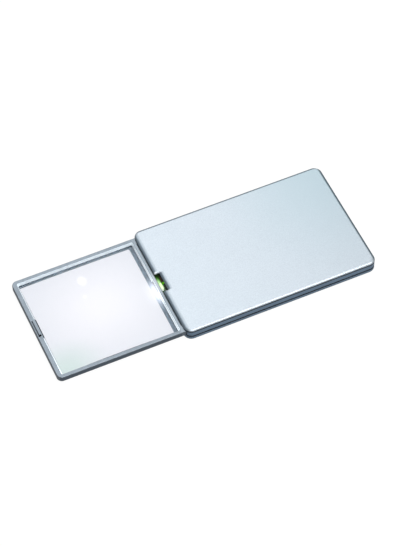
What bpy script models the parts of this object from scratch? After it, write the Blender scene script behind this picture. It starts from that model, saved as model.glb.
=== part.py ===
"""Slide-out pocket magnifier: a card-sized case, and a framed lens with a light that slides out of it.

Metres, +Z up. The origin is the centre of the case's underside. The lens frame slides along X: it is
modelled pulled right out, towards -X, and goes back into the case towards +X. The front faces -Y.
"""

from math import cos, pi, radians, sin, sqrt

import bmesh
import bpy
from mathutils import Matrix, Vector

MM = 0.001

# Clearances
SEAM = 0.3 * MM  # between the shells of the case
FIT = 0.1 * MM  # between small pieces that rest on each other

# Case
CASE_LENGTH = 86.5 * MM
CASE_WIDTH = 56.0 * MM
CASE_HEIGHT = 6.1 * MM
CASE_CORNER = 3.4 * MM
CASE_WALL = 1.5 * MM
FLOOR_TOP = 1.5 * MM
BASE_RIM_TOP = 1.85 * MM
CHASSIS_BOTTOM = BASE_RIM_TOP + SEAM
CHASSIS_TOP = 4.8 * MM
CHASSIS_TIP = 0.68 * MM  # the side walls stop this far behind the mouth, before they run out to an edge
COVER_BOTTOM = CHASSIS_TOP + SEAM
COVER_ROUND = 0.9 * MM
BASE_ROUND = 0.5 * MM
MOUTH_X = -CASE_LENGTH / 2
END_X = CASE_LENGTH / 2
INNER_END_X = END_X - CASE_WALL
INNER_HALF_WIDTH = CASE_WIDTH / 2 - CASE_WALL

# Thumb notch in the cover, at the middle of the mouth
NOTCH_DEPTH = 2.15 * MM
NOTCH_WIDTH = 9.4 * MM
NOTCH_CORNER = 0.4 * MM

# Slide travel, and the lens frame pulled out to its stops
TRAVEL = 55.3 * MM
FRAME_OUTER_X = MOUTH_X - TRAVEL - 0.05 * MM
FRAME_INNER_X = MOUTH_X - 0.15 * MM
FRAME_WIDTH = 52.16 * MM
FRAME_BOTTOM = 1.84 * MM
FRAME_TOP = 4.61 * MM
FRAME_CORNER = 2.2 * MM
FRAME_EDGE_ROUND = 0.25 * MM
OUTER_RAIL = 1.9 * MM
SIDE_RAIL = 1.48 * MM
INNER_RAIL = 1.2 * MM
LIP_WIDTH = 0.62 * MM
LIP_SLOPE = 1.26 * MM
LIP_BOTTOM = 3.1 * MM
OPENING_CORNER = 0.6 * MM

# Lens: a flat rim held under the lip, and a crown inside the opening
LENS_BOTTOM = 2.34 * MM
LENS_RIM_TOP = LIP_BOTTOM - FIT
LENS_TOP = 4.2 * MM
LENS_RADIUS = 520.0 * MM
RETAINER_NARROW = 0.6 * MM  # on the outer side
RETAINER_FRONT = 0.85 * MM
RETAINER_BACK = 1.3 * MM
RETAINER_WIDE = 2.1 * MM  # beside the lamp, where it also screens the lens edge
RETAINER_TOP = LENS_BOTTOM - FIT

# Finger grip on the outer rail
GRIP_Y = 0.05 * MM
GRIP_LENGTH = 9.9 * MM
GRIP_REACH = 0.75 * MM
GRIP_RISE = 0.12 * MM
GRIP_BOTTOM = 3.85 * MM
GROOVE_LENGTH = 8.4 * MM
GROOVE_INSET = 0.5 * MM
GROOVE_WIDTH = 0.55 * MM
GROOVE_DEPTH = 0.5 * MM
GROOVE_PIT = 1.3 * MM
PIT_WIDTH = 1.25 * MM
PIT_LENGTH = 0.9 * MM

# Carriage behind the inner rail: a shelf for the board, and an arm each side that stays in the case
SHELF_END_X = MOUTH_X + 6.2 * MM
SHELF_TOP = FRAME_BOTTOM + SEAM
ARM_WIDTH = 3.08 * MM
ARM_END_X = MOUTH_X + 25.25 * MM
STOP_LENGTH = 3.8 * MM
STOP_REACH = 0.92 * MM
STOP_BOTTOM = 2.9 * MM
STOP_TOP = 3.9 * MM
TRACK_DEPTH = 0.8 * MM
TRACK_CLEARANCE = 0.3 * MM

# Light: board, lamp and the window in the inner rail
BOARD_FRONT_X = FRAME_INNER_X + SEAM
BOARD_DEPTH = 5.5 * MM
BOARD_WIDTH = 28.0 * MM
BOARD_BOTTOM = 2.35 * MM
BOARD_TOP = 2.95 * MM
PARTS_BOTTOM = BOARD_TOP + FIT
LAMP_Y = -0.8 * MM
LAMP_LENGTH = 3.2 * MM
LAMP_SIDE = 1.0 * MM
WINDOW_WIDTH = 6.0 * MM
WINDOW_BOTTOM = 3.3 * MM
WINDOW_TOP = 4.1 * MM
BOARD_SCREW_Y = 11.0 * MM
BOARD_SCREW_HOLE = 0.9 * MM
BOARD_SCREW_X = MOUTH_X + 3.75 * MM
WIPER_Y = 8.0 * MM
WIPER_WIDTH = 1.5 * MM

# Power: coin cell, its contacts, and the strips that carry its current to the mouth
CELL_X = 30.6 * MM
CELL_RADIUS = 10.0 * MM
CELL_BOTTOM = 2.5 * MM
CELL_TOP = 4.1 * MM
HOLDER_FRONT_X = 19.2 * MM
HOLDER_WIDTH = 38.8 * MM
HOLDER_TOP = 4.2 * MM
STRIP_Y = 15.0 * MM
STRIP_WIDTH = 1.6 * MM
STRIP_BOTTOM = 1.2 * MM
STRIP_TOP = 1.4 * MM
STRIP_PAD = 6.0 * MM
CONTACT_X = 24.0 * MM
CONTACT_WIDTH = 4.0 * MM
CONTACT_THICK = 0.2 * MM

# Battery cap in the underside
CAP_RADIUS = 11.0 * MM
CAP_FLANGE_TOP = 0.8 * MM
CAP_NECK_RADIUS = 9.8 * MM
CAP_NECK_TOP = 2.0 * MM
CAP_LEDGE_BOTTOM = 1.0 * MM
COIN_SLOT_LENGTH = 12.0 * MM
COIN_SLOT_WIDTH = 1.3 * MM
COIN_SLOT_DEPTH = 0.45 * MM

# Case screws and cover pins, as (x, y) of the pair on +Y
CASE_SCREWS = ((40.0 * MM, 17.0 * MM), (21.2 * MM, 17.6 * MM))
SCREW_HOLE = 0.95 * MM
SCREW_RECESS = 1.6 * MM
SCREW_RECESS_TOP = 0.85 * MM
COVER_PINS = ((38.0 * MM, 13.0 * MM), (20.6 * MM, 11.0 * MM))
PIN_RADIUS = 0.7 * MM
PIN_BOTTOM = 3.4 * MM

ARC_STEPS = 8
SMALL_STEPS = 20  # sides of the smallest round holes and pins
SHARP_ANGLE = radians(35)


def clear_scene():
    for obj in list(bpy.data.objects):
        bpy.data.objects.remove(obj, do_unlink=True)


def new_collection(name, is_helper=False):
    collection = bpy.data.collections.new(name)
    bpy.context.scene.collection.children.link(collection)
    collection.hide_render = is_helper
    return collection


clear_scene()
PIECES = new_collection("pocket_magnifier")
CUTTERS = new_collection("cutters", is_helper=True)


def material(name, colour, roughness, metallic=0.0, transmission=0.0):
    made = bpy.data.materials.new(name)
    made.use_nodes = True
    shader = made.node_tree.nodes["Principled BSDF"]
    shader.inputs["Base Color"].default_value = (*colour, 1.0)
    shader.inputs["Roughness"].default_value = roughness
    shader.inputs["Metallic"].default_value = metallic
    shader.inputs["Transmission Weight"].default_value = transmission
    return made


def add_object(name, mesh, finish=None):
    """An object of this mesh: a piece if it has a finish, and a cutter if it has none."""
    obj = bpy.data.objects.new(name, mesh)
    if finish is None:
        CUTTERS.objects.link(obj)
        obj.hide_render = True
        obj.display_type = "WIRE"
    else:
        PIECES.objects.link(obj)
        mesh.materials.append(finish)
        mesh.shade_smooth()
        mesh.set_sharp_from_angle(angle=SHARP_ANGLE)
    return obj


# ---------------------------------------------------------------- outlines


def arc(centre_x, centre_y, radius, start, turn, steps=ARC_STEPS):
    """Points along an arc, with its angles in degrees."""
    angles = [radians(start + turn * i / steps) for i in range(steps + 1)]
    return [(centre_x + radius * cos(a), centre_y + radius * sin(a)) for a in angles]


def rounded_rectangle(x0, x1, y0, y1, radius):
    """Anticlockwise from the corner at x1, y0."""
    return (
        arc(x1 - radius, y0 + radius, radius, -90, 90)
        + arc(x1 - radius, y1 - radius, radius, 0, 90)
        + arc(x0 + radius, y1 - radius, radius, 90, 90)
        + arc(x0 + radius, y0 + radius, radius, 180, 90)
    )


def circle(centre_x, centre_y, radius, steps=48):
    return arc(centre_x, centre_y, radius, 0, 360 * (steps - 1) / steps, steps - 1)


def case_outline(inset=0.0):
    return rounded_rectangle(
        MOUTH_X + inset, END_X - inset, -CASE_WIDTH / 2 + inset, CASE_WIDTH / 2 - inset, CASE_CORNER - inset
    )


# ---------------------------------------------------------------- shapes


def made_mesh(guide):
    """The mesh that a curve, or an object with modifiers, makes. The guide itself is removed."""
    bpy.context.scene.collection.objects.link(guide)
    mesh = bpy.data.meshes.new_from_object(guide.evaluated_get(bpy.context.evaluated_depsgraph_get()))
    mesh.name = guide.name
    mesh.materials.clear()
    bpy.data.objects.remove(guide, do_unlink=True)
    return mesh


def flat_mesh(name, outlines, bottom, top):
    """A plate between two heights. The first outline is its edge, and any others are holes."""
    curve = bpy.data.curves.new(name, "CURVE")
    curve.dimensions = "2D"
    curve.fill_mode = "BOTH"
    curve.extrude = (top - bottom) / 2
    for outline in outlines:
        spline = curve.splines.new("POLY")
        spline.points.add(len(outline) - 1)
        for point, (x, y) in zip(spline.points, outline):
            point.co = (x, y, 0.0, 1.0)
        spline.use_cyclic_u = True
    mesh = made_mesh(bpy.data.objects.new(name, curve))
    bpy.data.curves.remove(curve)
    for vertex in mesh.vertices:
        vertex.co.z = top if vertex.co.z > 0 else bottom
    bm = bmesh.new()
    bm.from_mesh(mesh)
    bmesh.ops.remove_doubles(bm, verts=bm.verts, dist=1e-7)
    bmesh.ops.dissolve_limit(bm, angle_limit=radians(0.5), verts=bm.verts, edges=bm.edges)
    bmesh.ops.recalc_face_normals(bm, faces=bm.faces)
    bm.to_mesh(mesh)
    bm.free()
    return mesh


def round_rim(mesh, height, width, segments):
    """Rounds every edge that lies at this height."""
    bm = bmesh.new()
    bm.from_mesh(mesh)
    rim = [e for e in bm.edges if all(abs(v.co.z - height) < 1e-6 for v in e.verts)]
    bmesh.ops.bevel(bm, geom=rim, offset=width, segments=segments, profile=0.5, affect="EDGES")
    for vertex in bm.verts:
        if abs(vertex.co.z - height) < 1e-6:
            vertex.co.z = height
    bm.to_mesh(mesh)
    bm.free()


def plate(name, outlines, bottom, top, finish=None):
    return add_object(name, flat_mesh(name, outlines, bottom, top), finish)


def block(name, x0, x1, y0, y1, z0, z1, finish=None, edge=0.0):
    """A box between six limits, with its edges rounded by edge if that is given."""
    bm = bmesh.new()
    bmesh.ops.create_cube(bm, size=1.0)
    for vertex in bm.verts:
        x, y, z = vertex.co
        vertex.co = (x1 if x > 0 else x0, y1 if y > 0 else y0, z1 if z > 0 else z0)
    if edge:
        bmesh.ops.bevel(bm, geom=bm.edges, offset=edge, segments=2, profile=0.5, affect="EDGES")
    mesh = bpy.data.meshes.new(name)
    bm.to_mesh(mesh)
    bm.free()
    return add_object(name, mesh, finish)


def turned(name, x, y, profile, finish=None, steps=48):
    """A piece turned about the vertical through x, y. The profile is (radius, height), top to bottom."""
    section = bpy.data.meshes.new(name)
    lines = [(i, i + 1) for i in range(len(profile) - 1)]
    section.from_pydata([(r, 0.0, z) for r, z in profile], lines, [])
    guide = bpy.data.objects.new(name, section)
    screw = guide.modifiers.new("Turn", "SCREW")
    screw.axis = "Z"
    screw.angle = 2 * pi
    screw.steps = steps
    screw.render_steps = steps
    screw.use_merge_vertices = True
    screw.merge_threshold = 1e-6
    mesh = made_mesh(guide)
    bpy.data.meshes.remove(section)
    obj = add_object(name, mesh, finish)
    obj.location = (x, y, 0.0)
    return obj


def cylinder(name, x, y, radius, z0, z1, finish=None, steps=32):
    return turned(name, x, y, ((0.0, z1), (radius, z1), (radius, z0), (0.0, z0)), finish, steps)


def leaf(name, points, across, width, thick, plane, finish):
    """A bent strip of sheet metal, its path drawn in the XZ or the YZ plane and its width across it."""
    curve = bpy.data.curves.new(name, "CURVE")
    curve.dimensions = "2D"
    curve.fill_mode = "NONE"
    curve.extrude = width / 2
    spline = curve.splines.new("POLY")
    spline.points.add(len(points) - 1)
    for point, (along, height) in zip(spline.points, points):
        point.co = (along, height, 0.0, 1.0)
    mesh = made_mesh(bpy.data.objects.new(name, curve))
    bpy.data.curves.remove(curve)
    obj = add_object(name, mesh, finish)
    obj.location = (0.0, across, 0.0) if plane == "XZ" else (across, 0.0, 0.0)
    obj.rotation_euler = (pi / 2, 0.0, 0.0) if plane == "XZ" else (pi / 2, 0.0, pi / 2)
    wall = obj.modifiers.new("Sheet", "SOLIDIFY")
    wall.thickness = thick
    wall.offset = 0.0
    wall.use_even_offset = True
    return obj


def combine(obj, operation, label, *others):
    """One Boolean of the object with all the others, which go in a collection of their own."""
    group = bpy.data.collections.new(f"{obj.name}_{label}")
    CUTTERS.children.link(group)
    for other in others:
        CUTTERS.objects.unlink(other)
        group.objects.link(other)
    boolean = obj.modifiers.new(label, "BOOLEAN")
    boolean.operation = operation
    boolean.operand_type = "COLLECTION"
    boolean.collection = group
    boolean.solver = "EXACT"


def cut(obj, *cutters):
    combine(obj, "DIFFERENCE", "cut", *cutters)


def join(obj, *additions):
    combine(obj, "UNION", "joined", *additions)


# ---------------------------------------------------------------- finishes

SILVER = material("silver_lacquer", (0.74, 0.79, 0.84), 0.32, 0.55)
CASE_GREY = material("blue_grey_shell", (0.20, 0.25, 0.30), 0.42, 0.25)
FRAME_GREY = material("frame_grey", (0.42, 0.49, 0.55), 0.38, 0.35)
DARK_GREY = material("dark_grey", (0.20, 0.23, 0.26), 0.45)
CLEAR = material("clear_acrylic", (0.96, 0.97, 1.0), 0.03, 0.0, 0.9)
BOARD_GREEN = material("board_green", (0.05, 0.42, 0.08), 0.35)
LAMP_WHITE = material("lamp_white", (0.95, 0.96, 0.90), 0.3)
CHIP_BLACK = material("chip_black", (0.02, 0.02, 0.02), 0.4)
FERRITE = material("ferrite_brown", (0.07, 0.03, 0.02), 0.55)
RESISTOR_BLACK = material("resistor_black", (0.03, 0.03, 0.035), 0.35)
STEEL = material("steel", (0.62, 0.63, 0.64), 0.28, 1.0)
SPRING_METAL = material("nickel_spring", (0.66, 0.64, 0.58), 0.25, 1.0)
COPPER = material("copper_strip", (0.80, 0.48, 0.30), 0.3, 1.0)
FOAM = material("black_foam", (0.03, 0.03, 0.03), 0.9)
GLIDE = material("white_glide_tape", (0.82, 0.83, 0.82), 0.5)


# ---------------------------------------------------------------- case


def make_top_cover():
    half = NOTCH_WIDTH / 2
    depth_x = MOUTH_X + NOTCH_DEPTH
    notch = (
        [(MOUTH_X, -half)]
        + arc(depth_x - NOTCH_CORNER, -half + NOTCH_CORNER, NOTCH_CORNER, -90, 90, 4)
        + arc(depth_x - NOTCH_CORNER, half - NOTCH_CORNER, NOTCH_CORNER, 0, 90, 4)
        + [(MOUTH_X, half)]
    )
    # The case outline ends on the mouth's -Y corner and starts on the far end, so the notch, turned
    # round, closes it.
    outline = case_outline()
    mouth_start = 3 * (ARC_STEPS + 1)
    outline = outline[:mouth_start] + notch[::-1] + outline[mouth_start:]
    mesh = flat_mesh("top_cover", [outline], COVER_BOTTOM, CASE_HEIGHT)
    round_rim(mesh, CASE_HEIGHT, COVER_ROUND, 4)
    cover = add_object("top_cover", mesh, SILVER)
    pins = [
        cylinder(f"cover_pin_{i}", x, y, PIN_RADIUS, PIN_BOTTOM, COVER_BOTTOM + FIT, steps=SMALL_STEPS)
        for i, (x, y) in enumerate(pin_places())
    ]
    join(cover, *pins)


def pin_places():
    """Where the cover's locating pins stand."""
    return [(x, side * y) for x, y in COVER_PINS for side in (-1, 1)]


def make_chassis():
    ring = plate("chassis", [case_outline()], CHASSIS_BOTTOM, CHASSIS_TOP, CASE_GREY)
    tip_x = MOUTH_X + CHASSIS_TIP
    bay = block(
        "slider_bay", MOUTH_X - MM, INNER_END_X, -INNER_HALF_WIDTH, INNER_HALF_WIDTH, 0.0, CASE_HEIGHT
    )
    mouth = block("mouth_cut", MOUTH_X - MM, tip_x, -CASE_WIDTH, CASE_WIDTH, 0.0, CASE_HEIGHT)
    cut(ring, bay, mouth)
    holder = block(
        "cell_holder", HOLDER_FRONT_X, INNER_END_X + 0.5 * MM, -HOLDER_WIDTH / 2, HOLDER_WIDTH / 2,
        CELL_BOTTOM, HOLDER_TOP,
    )
    join(ring, holder)
    cutters = [cylinder("cell_pocket", CELL_X, 0.0, CELL_RADIUS + SEAM, 0.0, CASE_HEIGHT, steps=48)]
    for side in (-1, 1):
        cutters.append(
            block(
                f"contact_slot_{side}",
                CONTACT_X - CONTACT_WIDTH / 2 - SEAM, CONTACT_X + CONTACT_WIDTH / 2 + SEAM,
                side * STRIP_Y - 2 * CONTACT_THICK, side * STRIP_Y + 2 * CONTACT_THICK, 0.0, CASE_HEIGHT,
            )
        )
        track_y = sorted((side * (INNER_HALF_WIDTH - 0.5 * MM), side * (INNER_HALF_WIDTH + TRACK_DEPTH)))
        cutters.append(
            block(
                f"stop_track_{side}", ARM_END_X - STOP_LENGTH - TRACK_CLEARANCE,
                ARM_END_X + TRAVEL + 2 * TRACK_CLEARANCE, *track_y,
                STOP_BOTTOM - TRACK_CLEARANCE, STOP_TOP + TRACK_CLEARANCE,
            )
        )
        for i, (x, y) in enumerate(CASE_SCREWS):
            hole = f"chassis_screw_hole_{side}_{i}"
            cutters.append(cylinder(hole, x, side * y, SCREW_HOLE, 0.0, CASE_HEIGHT))
    for i, (x, y) in enumerate(pin_places()):
        cutters.append(
            cylinder(f"pin_hole_{i}", x, y, PIN_RADIUS + SEAM, 0.0, CASE_HEIGHT, steps=SMALL_STEPS)
        )
    cut(ring, *cutters)


def strip_outline(side, grow=0.0):
    """The shape of a power strip: a long run beside the cell, and a wide pad at the mouth for the wiper."""
    outer = STRIP_Y + STRIP_WIDTH / 2 + grow
    inner = STRIP_Y - STRIP_WIDTH / 2 - grow
    pad_inner = WIPER_Y - STRIP_WIDTH / 2 - grow
    front = MOUTH_X + 0.4 * MM - grow
    pad_end = MOUTH_X + STRIP_PAD + grow
    back = CONTACT_X + CONTACT_WIDTH / 2 + grow
    points = [
        (front, pad_inner), (pad_end, pad_inner), (pad_end, inner),
        (back, inner), (back, outer), (front, outer),
    ]
    return [(x, side * y) for x, y in points]


def make_base_cover():
    mesh = flat_mesh("base_cover", [case_outline()], 0.0, BASE_RIM_TOP)
    round_rim(mesh, 0.0, BASE_ROUND, 3)
    base = add_object("base_cover", mesh, CASE_GREY)
    cutters = [
        block(
            "floor_recess", MOUTH_X - MM, INNER_END_X, -INNER_HALF_WIDTH, INNER_HALF_WIDTH,
            FLOOR_TOP, CASE_HEIGHT,
        ),
        cylinder("cap_recess", CELL_X, 0.0, CAP_RADIUS + SEAM, -MM, CAP_LEDGE_BOTTOM, steps=64),
        cylinder("cap_hole", CELL_X, 0.0, CAP_NECK_RADIUS + SEAM, -MM, CASE_HEIGHT, steps=64),
        lug_shape("lug_entry", 0.0, CAP_RADIUS + 0.2 * MM, 0.0, CASE_HEIGHT, 38),
    ]
    for side in (-1, 1):
        channel = [strip_outline(side, FIT)]
        cutters.append(plate(f"strip_channel_{side}", channel, STRIP_BOTTOM - FIT, CASE_HEIGHT))
        for i, (x, y) in enumerate(CASE_SCREWS):
            hole, recess = f"base_screw_hole_{side}_{i}", f"screw_recess_{side}_{i}"
            cutters.append(cylinder(hole, x, side * y, SCREW_HOLE, -MM, CASE_HEIGHT))
            cutters.append(cylinder(recess, x, side * y, SCREW_RECESS, -MM, SCREW_RECESS_TOP))
    cut(base, *cutters)


def screw_profile(head_radius, head_bottom, head_top, shaft_radius, shaft_end, upward):
    """Half section of a pan-head screw whose shaft points up or down, from its top to its bottom."""
    if upward:
        return (
            (0.0, shaft_end), (shaft_radius * 0.6, shaft_end),
            (shaft_radius, shaft_end - shaft_radius * 0.5), (shaft_radius, head_top),
            (head_radius, head_top), (head_radius, head_bottom), (0.0, head_bottom),
        )
    return (
        (0.0, head_top), (head_radius * 0.8, head_top), (head_radius, (head_top + head_bottom) / 2),
        (head_radius, head_bottom), (shaft_radius, head_bottom),
        (shaft_radius, shaft_end), (0.0, shaft_end),
    )


def cross_recess(name, x, y, z0, z1, reach):
    """The cross in a screw's head, as two cutters."""
    return [
        block(f"{name}_cross_x", x - reach, x + reach, y - 0.15 * MM, y + 0.15 * MM, z0, z1),
        block(f"{name}_cross_y", x - 0.15 * MM, x + 0.15 * MM, y - reach, y + reach, z0, z1),
    ]


def make_case_screws():
    number = 0
    for x, y in CASE_SCREWS:
        for side in (-1, 1):
            number += 1
            name = f"case_screw_{number}"
            profile = screw_profile(1.3 * MM, 0.15 * MM, 0.75 * MM, 0.65 * MM, 3.9 * MM, upward=True)
            screw = turned(name, x, side * y, profile, STEEL, 24)
            cut(screw, *cross_recess(name, x, side * y, -MM, 0.4 * MM, 0.75 * MM))


# ---------------------------------------------------------------- power


def lug_shape(name, turn, radius, z0, z1, spread, finish=None):
    """A bar with round ends across the cap's centre, turned by turn degrees, its ends spread degrees wide."""
    first = turn - spread / 2
    ends = arc(0.0, 0.0, radius, first, spread, 6) + arc(0.0, 0.0, radius, first + 180, spread, 6)
    lug = plate(name, [ends], z0, z1, finish)
    lug.location = (CELL_X, 0.0, 0.0)
    return lug


def make_battery_cap():
    profile = (
        (0.0, CAP_NECK_TOP), (CAP_NECK_RADIUS, CAP_NECK_TOP), (CAP_NECK_RADIUS, CAP_FLANGE_TOP),
        (CAP_RADIUS, CAP_FLANGE_TOP), (CAP_RADIUS, 0.15 * MM), (CAP_RADIUS - 0.15 * MM, 0.0), (0.0, 0.0),
    )
    cap = turned("battery_cap", CELL_X, 0.0, profile, CASE_GREY, 64)
    lugs = lug_shape("cap_lugs", 90.0, CAP_RADIUS - 0.1 * MM, FLOOR_TOP + 0.25 * MM, CAP_NECK_TOP, 30)
    join(cap, lugs)
    slot_outline = rounded_rectangle(
        -COIN_SLOT_LENGTH / 2, COIN_SLOT_LENGTH / 2, -COIN_SLOT_WIDTH / 2, COIN_SLOT_WIDTH / 2,
        COIN_SLOT_WIDTH * 0.45,
    )
    slot = plate("coin_slot", [slot_outline], -MM, COIN_SLOT_DEPTH)
    slot.location = (CELL_X, 0.0, 0.0)
    cut(cap, slot)


def make_coin_cell():
    edge = 0.2 * MM
    step = 1.15 * MM
    profile = (
        (0.0, CELL_TOP), (CELL_RADIUS - edge, CELL_TOP), (CELL_RADIUS, CELL_TOP - edge),
        (CELL_RADIUS, CELL_BOTTOM + 2 * edge), (CELL_RADIUS - edge, CELL_BOTTOM + edge),
        (CELL_RADIUS - step, CELL_BOTTOM + edge), (CELL_RADIUS - step, CELL_BOTTOM), (0.0, CELL_BOTTOM),
    )
    turned("coin_cell", CELL_X, 0.0, profile, STEEL, 48)


def make_contacts():
    over = CELL_TOP + 0.35 * MM
    under = CELL_BOTTOM - 0.25 * MM
    foot = STRIP_TOP + FIT
    reach = 4.0 * MM
    leaf(
        "positive_contact", [(-reach, over), (STRIP_Y, over), (STRIP_Y, foot)],
        CONTACT_X, CONTACT_WIDTH, CONTACT_THICK, "YZ", SPRING_METAL,
    )
    leaf(
        "negative_contact", [(reach, under), (-STRIP_Y, under), (-STRIP_Y, foot)],
        CONTACT_X, CONTACT_WIDTH, CONTACT_THICK, "YZ", SPRING_METAL,
    )
    plate("positive_strip", [strip_outline(1)], STRIP_BOTTOM, STRIP_TOP, COPPER)
    plate("negative_strip", [strip_outline(-1)], STRIP_BOTTOM, STRIP_TOP, COPPER)


def make_pads():
    pad_bottom, pad_top = CELL_TOP + SEAM, COVER_BOTTOM - FIT
    block("cell_pad", CELL_X - 3 * MM, CELL_X + 3 * MM, -3 * MM, 3 * MM, pad_bottom, pad_top, FOAM)
    for name, side in (("front_glide_strip", -1), ("back_glide_strip", 1)):
        edges = sorted((side * 24.0 * MM, side * 25.8 * MM))
        top = COVER_BOTTOM - 0.14 * MM
        block(name, MOUTH_X + 2.2 * MM, 38.0 * MM, *edges, top - 0.2 * MM, top, GLIDE)


# ---------------------------------------------------------------- lens slider


def opening_limits(grow=0.0):
    """The lens opening at the bottom of its lip, as x0, x1, y0, y1, with each side moved out by grow."""
    half = FRAME_WIDTH / 2 - SIDE_RAIL - LIP_WIDTH + grow
    return (
        FRAME_OUTER_X + OUTER_RAIL + LIP_WIDTH - grow,
        FRAME_INNER_X - INNER_RAIL - LIP_WIDTH + grow,
        -half,
        half,
    )


def sloped_opening():
    """The cutter for the lens opening: straight at the bottom, and flared to the rails at the top."""
    slope_bottom = FRAME_TOP - LIP_SLOPE
    mesh = flat_mesh(
        "lens_opening", [rounded_rectangle(*opening_limits(), OPENING_CORNER)], 0.0, slope_bottom
    )
    bm = bmesh.new()
    bm.from_mesh(mesh)
    lid = max(bm.faces, key=lambda face: face.calc_center_median().z)
    x0, x1, y0, y1 = opening_limits()
    middle = Vector(((x0 + x1) / 2, (y0 + y1) / 2, 0.0))
    extra = 0.5 * MM
    for rise, flare in ((LIP_SLOPE, LIP_WIDTH), (extra, LIP_WIDTH * extra / LIP_SLOPE)):
        lid = bmesh.ops.extrude_discrete_faces(bm, faces=[lid])["faces"][0]
        x_scale = 1 + 2 * flare / (x1 - x0)
        y_scale = 1 + 2 * flare / (y1 - y0)
        bmesh.ops.translate(bm, vec=(0.0, 0.0, rise), verts=lid.verts)
        bmesh.ops.scale(bm, vec=(x_scale, y_scale, 1.0), space=Matrix.Translation(-middle), verts=lid.verts)
    bm.to_mesh(mesh)
    bm.free()
    return add_object("lens_opening", mesh)


def make_lens_frame():
    half = FRAME_WIDTH / 2
    arm_inner = half - ARM_WIDTH
    arms = [(ARM_END_X, half), (ARM_END_X, arm_inner), (FRAME_INNER_X, arm_inner)]
    outline = (
        [(x, -y) for x, y in arms]
        + arms[::-1]
        + arc(FRAME_OUTER_X + FRAME_CORNER, half - FRAME_CORNER, FRAME_CORNER, 90, 90)
        + arc(FRAME_OUTER_X + FRAME_CORNER, -half + FRAME_CORNER, FRAME_CORNER, 180, 90)
    )
    mesh = flat_mesh("lens_frame", [outline], FRAME_BOTTOM, FRAME_TOP)
    round_rim(mesh, FRAME_TOP, FRAME_EDGE_ROUND, 2)
    frame = add_object("lens_frame", mesh, FRAME_GREY)
    pocket = plate(
        "lens_pocket", [rounded_rectangle(*opening_limits(LIP_WIDTH), OPENING_CORNER)], 0.0, LIP_BOTTOM
    )
    cut(frame, sloped_opening(), pocket)

    grip_x = FRAME_OUTER_X + OUTER_RAIL + GRIP_REACH
    grip = plate(
        "finger_grip",
        [
            rounded_rectangle(
                FRAME_OUTER_X + MM, grip_x, GRIP_Y - GRIP_LENGTH / 2, GRIP_Y + GRIP_LENGTH / 2, 0.5 * MM
            )
        ],
        GRIP_BOTTOM,
        FRAME_TOP + GRIP_RISE,
    )
    shelf = block(
        "board_shelf", FRAME_INNER_X - 0.3 * MM, SHELF_END_X, -half + MM, half - MM, FRAME_BOTTOM, SHELF_TOP
    )
    additions = [grip, shelf]
    for side in (-1, 1):
        stop_y = sorted((side * (half - 0.5 * MM), side * (half + STOP_REACH)))
        additions.append(
            block(f"stop_{side}", ARM_END_X - STOP_LENGTH, ARM_END_X, *stop_y, STOP_BOTTOM, STOP_TOP)
        )
    join(frame, *additions)

    groove_x = FRAME_OUTER_X + GROOVE_INSET
    groove_y = GRIP_Y + 0.25 * MM
    groove = block(
        "nail_groove", groove_x, groove_x + GROOVE_WIDTH,
        groove_y - GROOVE_LENGTH / 2, groove_y + GROOVE_LENGTH / 2, FRAME_TOP - GROOVE_DEPTH, FRAME_TOP + MM,
    )
    pit_y = groove_y - GROOVE_LENGTH / 2
    pit = block(
        "nail_groove_pit", groove_x + FIT, groove_x + PIT_WIDTH, pit_y - FIT, pit_y + PIT_LENGTH,
        FRAME_TOP - GROOVE_PIT, FRAME_TOP + MM,
    )
    window = block(
        "window_slot", FRAME_INNER_X - 2 * MM, FRAME_INNER_X + MM, -WINDOW_WIDTH / 2, WINDOW_WIDTH / 2,
        WINDOW_BOTTOM, WINDOW_TOP,
    )
    cutters = [groove, pit, window]
    above_shelf = SHELF_TOP + FIT
    for side in (-1, 1):
        clear = WIPER_WIDTH / 2 + SEAM
        cutters.append(
            block(
                f"wiper_gap_{side}", MOUTH_X + 0.5 * MM, MOUTH_X + 5.4 * MM,
                side * WIPER_Y - clear, side * WIPER_Y + clear, 0.0, above_shelf,
            )
        )
        cutters.append(
            cylinder(
                f"shelf_screw_hole_{side}", BOARD_SCREW_X, side * BOARD_SCREW_Y, BOARD_SCREW_HOLE,
                0.0, above_shelf, steps=SMALL_STEPS,
            )
        )
    cut(frame, *cutters)


def make_lens():
    """A moulded acrylic lens: a spherical crown that fills the opening, on a flat rim under the lip."""
    x0, x1, y0, y1 = opening_limits(-FIT)
    middle_x = (x0 + x1) / 2
    reach = 1.05 * sqrt(((x1 - x0) / 2) ** 2 + ((y1 - y0) / 2) ** 2)
    rings = 12
    crown = []
    for i in range(rings + 1):
        radius = reach * i / rings
        crown.append((radius, LENS_TOP - LENS_RADIUS + sqrt(LENS_RADIUS**2 - radius**2)))
    blank = turned("lens", middle_x, 0.0, (*crown, (reach, LENS_BOTTOM), (0.0, LENS_BOTTOM)), CLEAR, 72)
    outline = rounded_rectangle(x0, x1, y0, y1, OPENING_CORNER - FIT)
    edge = plate("lens_crown_edge", [outline], 0.0, CASE_HEIGHT)
    combine(blank, "INTERSECT", "trimmed", edge)
    rim_outline = rounded_rectangle(*opening_limits(LIP_WIDTH - FIT), OPENING_CORNER - FIT)
    rim = plate("lens_rim", [rim_outline], LENS_BOTTOM, LENS_RIM_TOP)
    join(blank, rim)


def make_retainer():
    outer = rounded_rectangle(*opening_limits(LIP_WIDTH - FIT), OPENING_CORNER - FIT)
    x0, x1, y0, y1 = opening_limits(LIP_WIDTH - FIT)
    inner = rounded_rectangle(
        x0 + RETAINER_NARROW, x1 - RETAINER_WIDE, y0 + RETAINER_FRONT, y1 - RETAINER_BACK,
        OPENING_CORNER - FIT,
    )
    plate("lens_retainer", [outer, inner], FRAME_BOTTOM, RETAINER_TOP, DARK_GREY)


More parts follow.
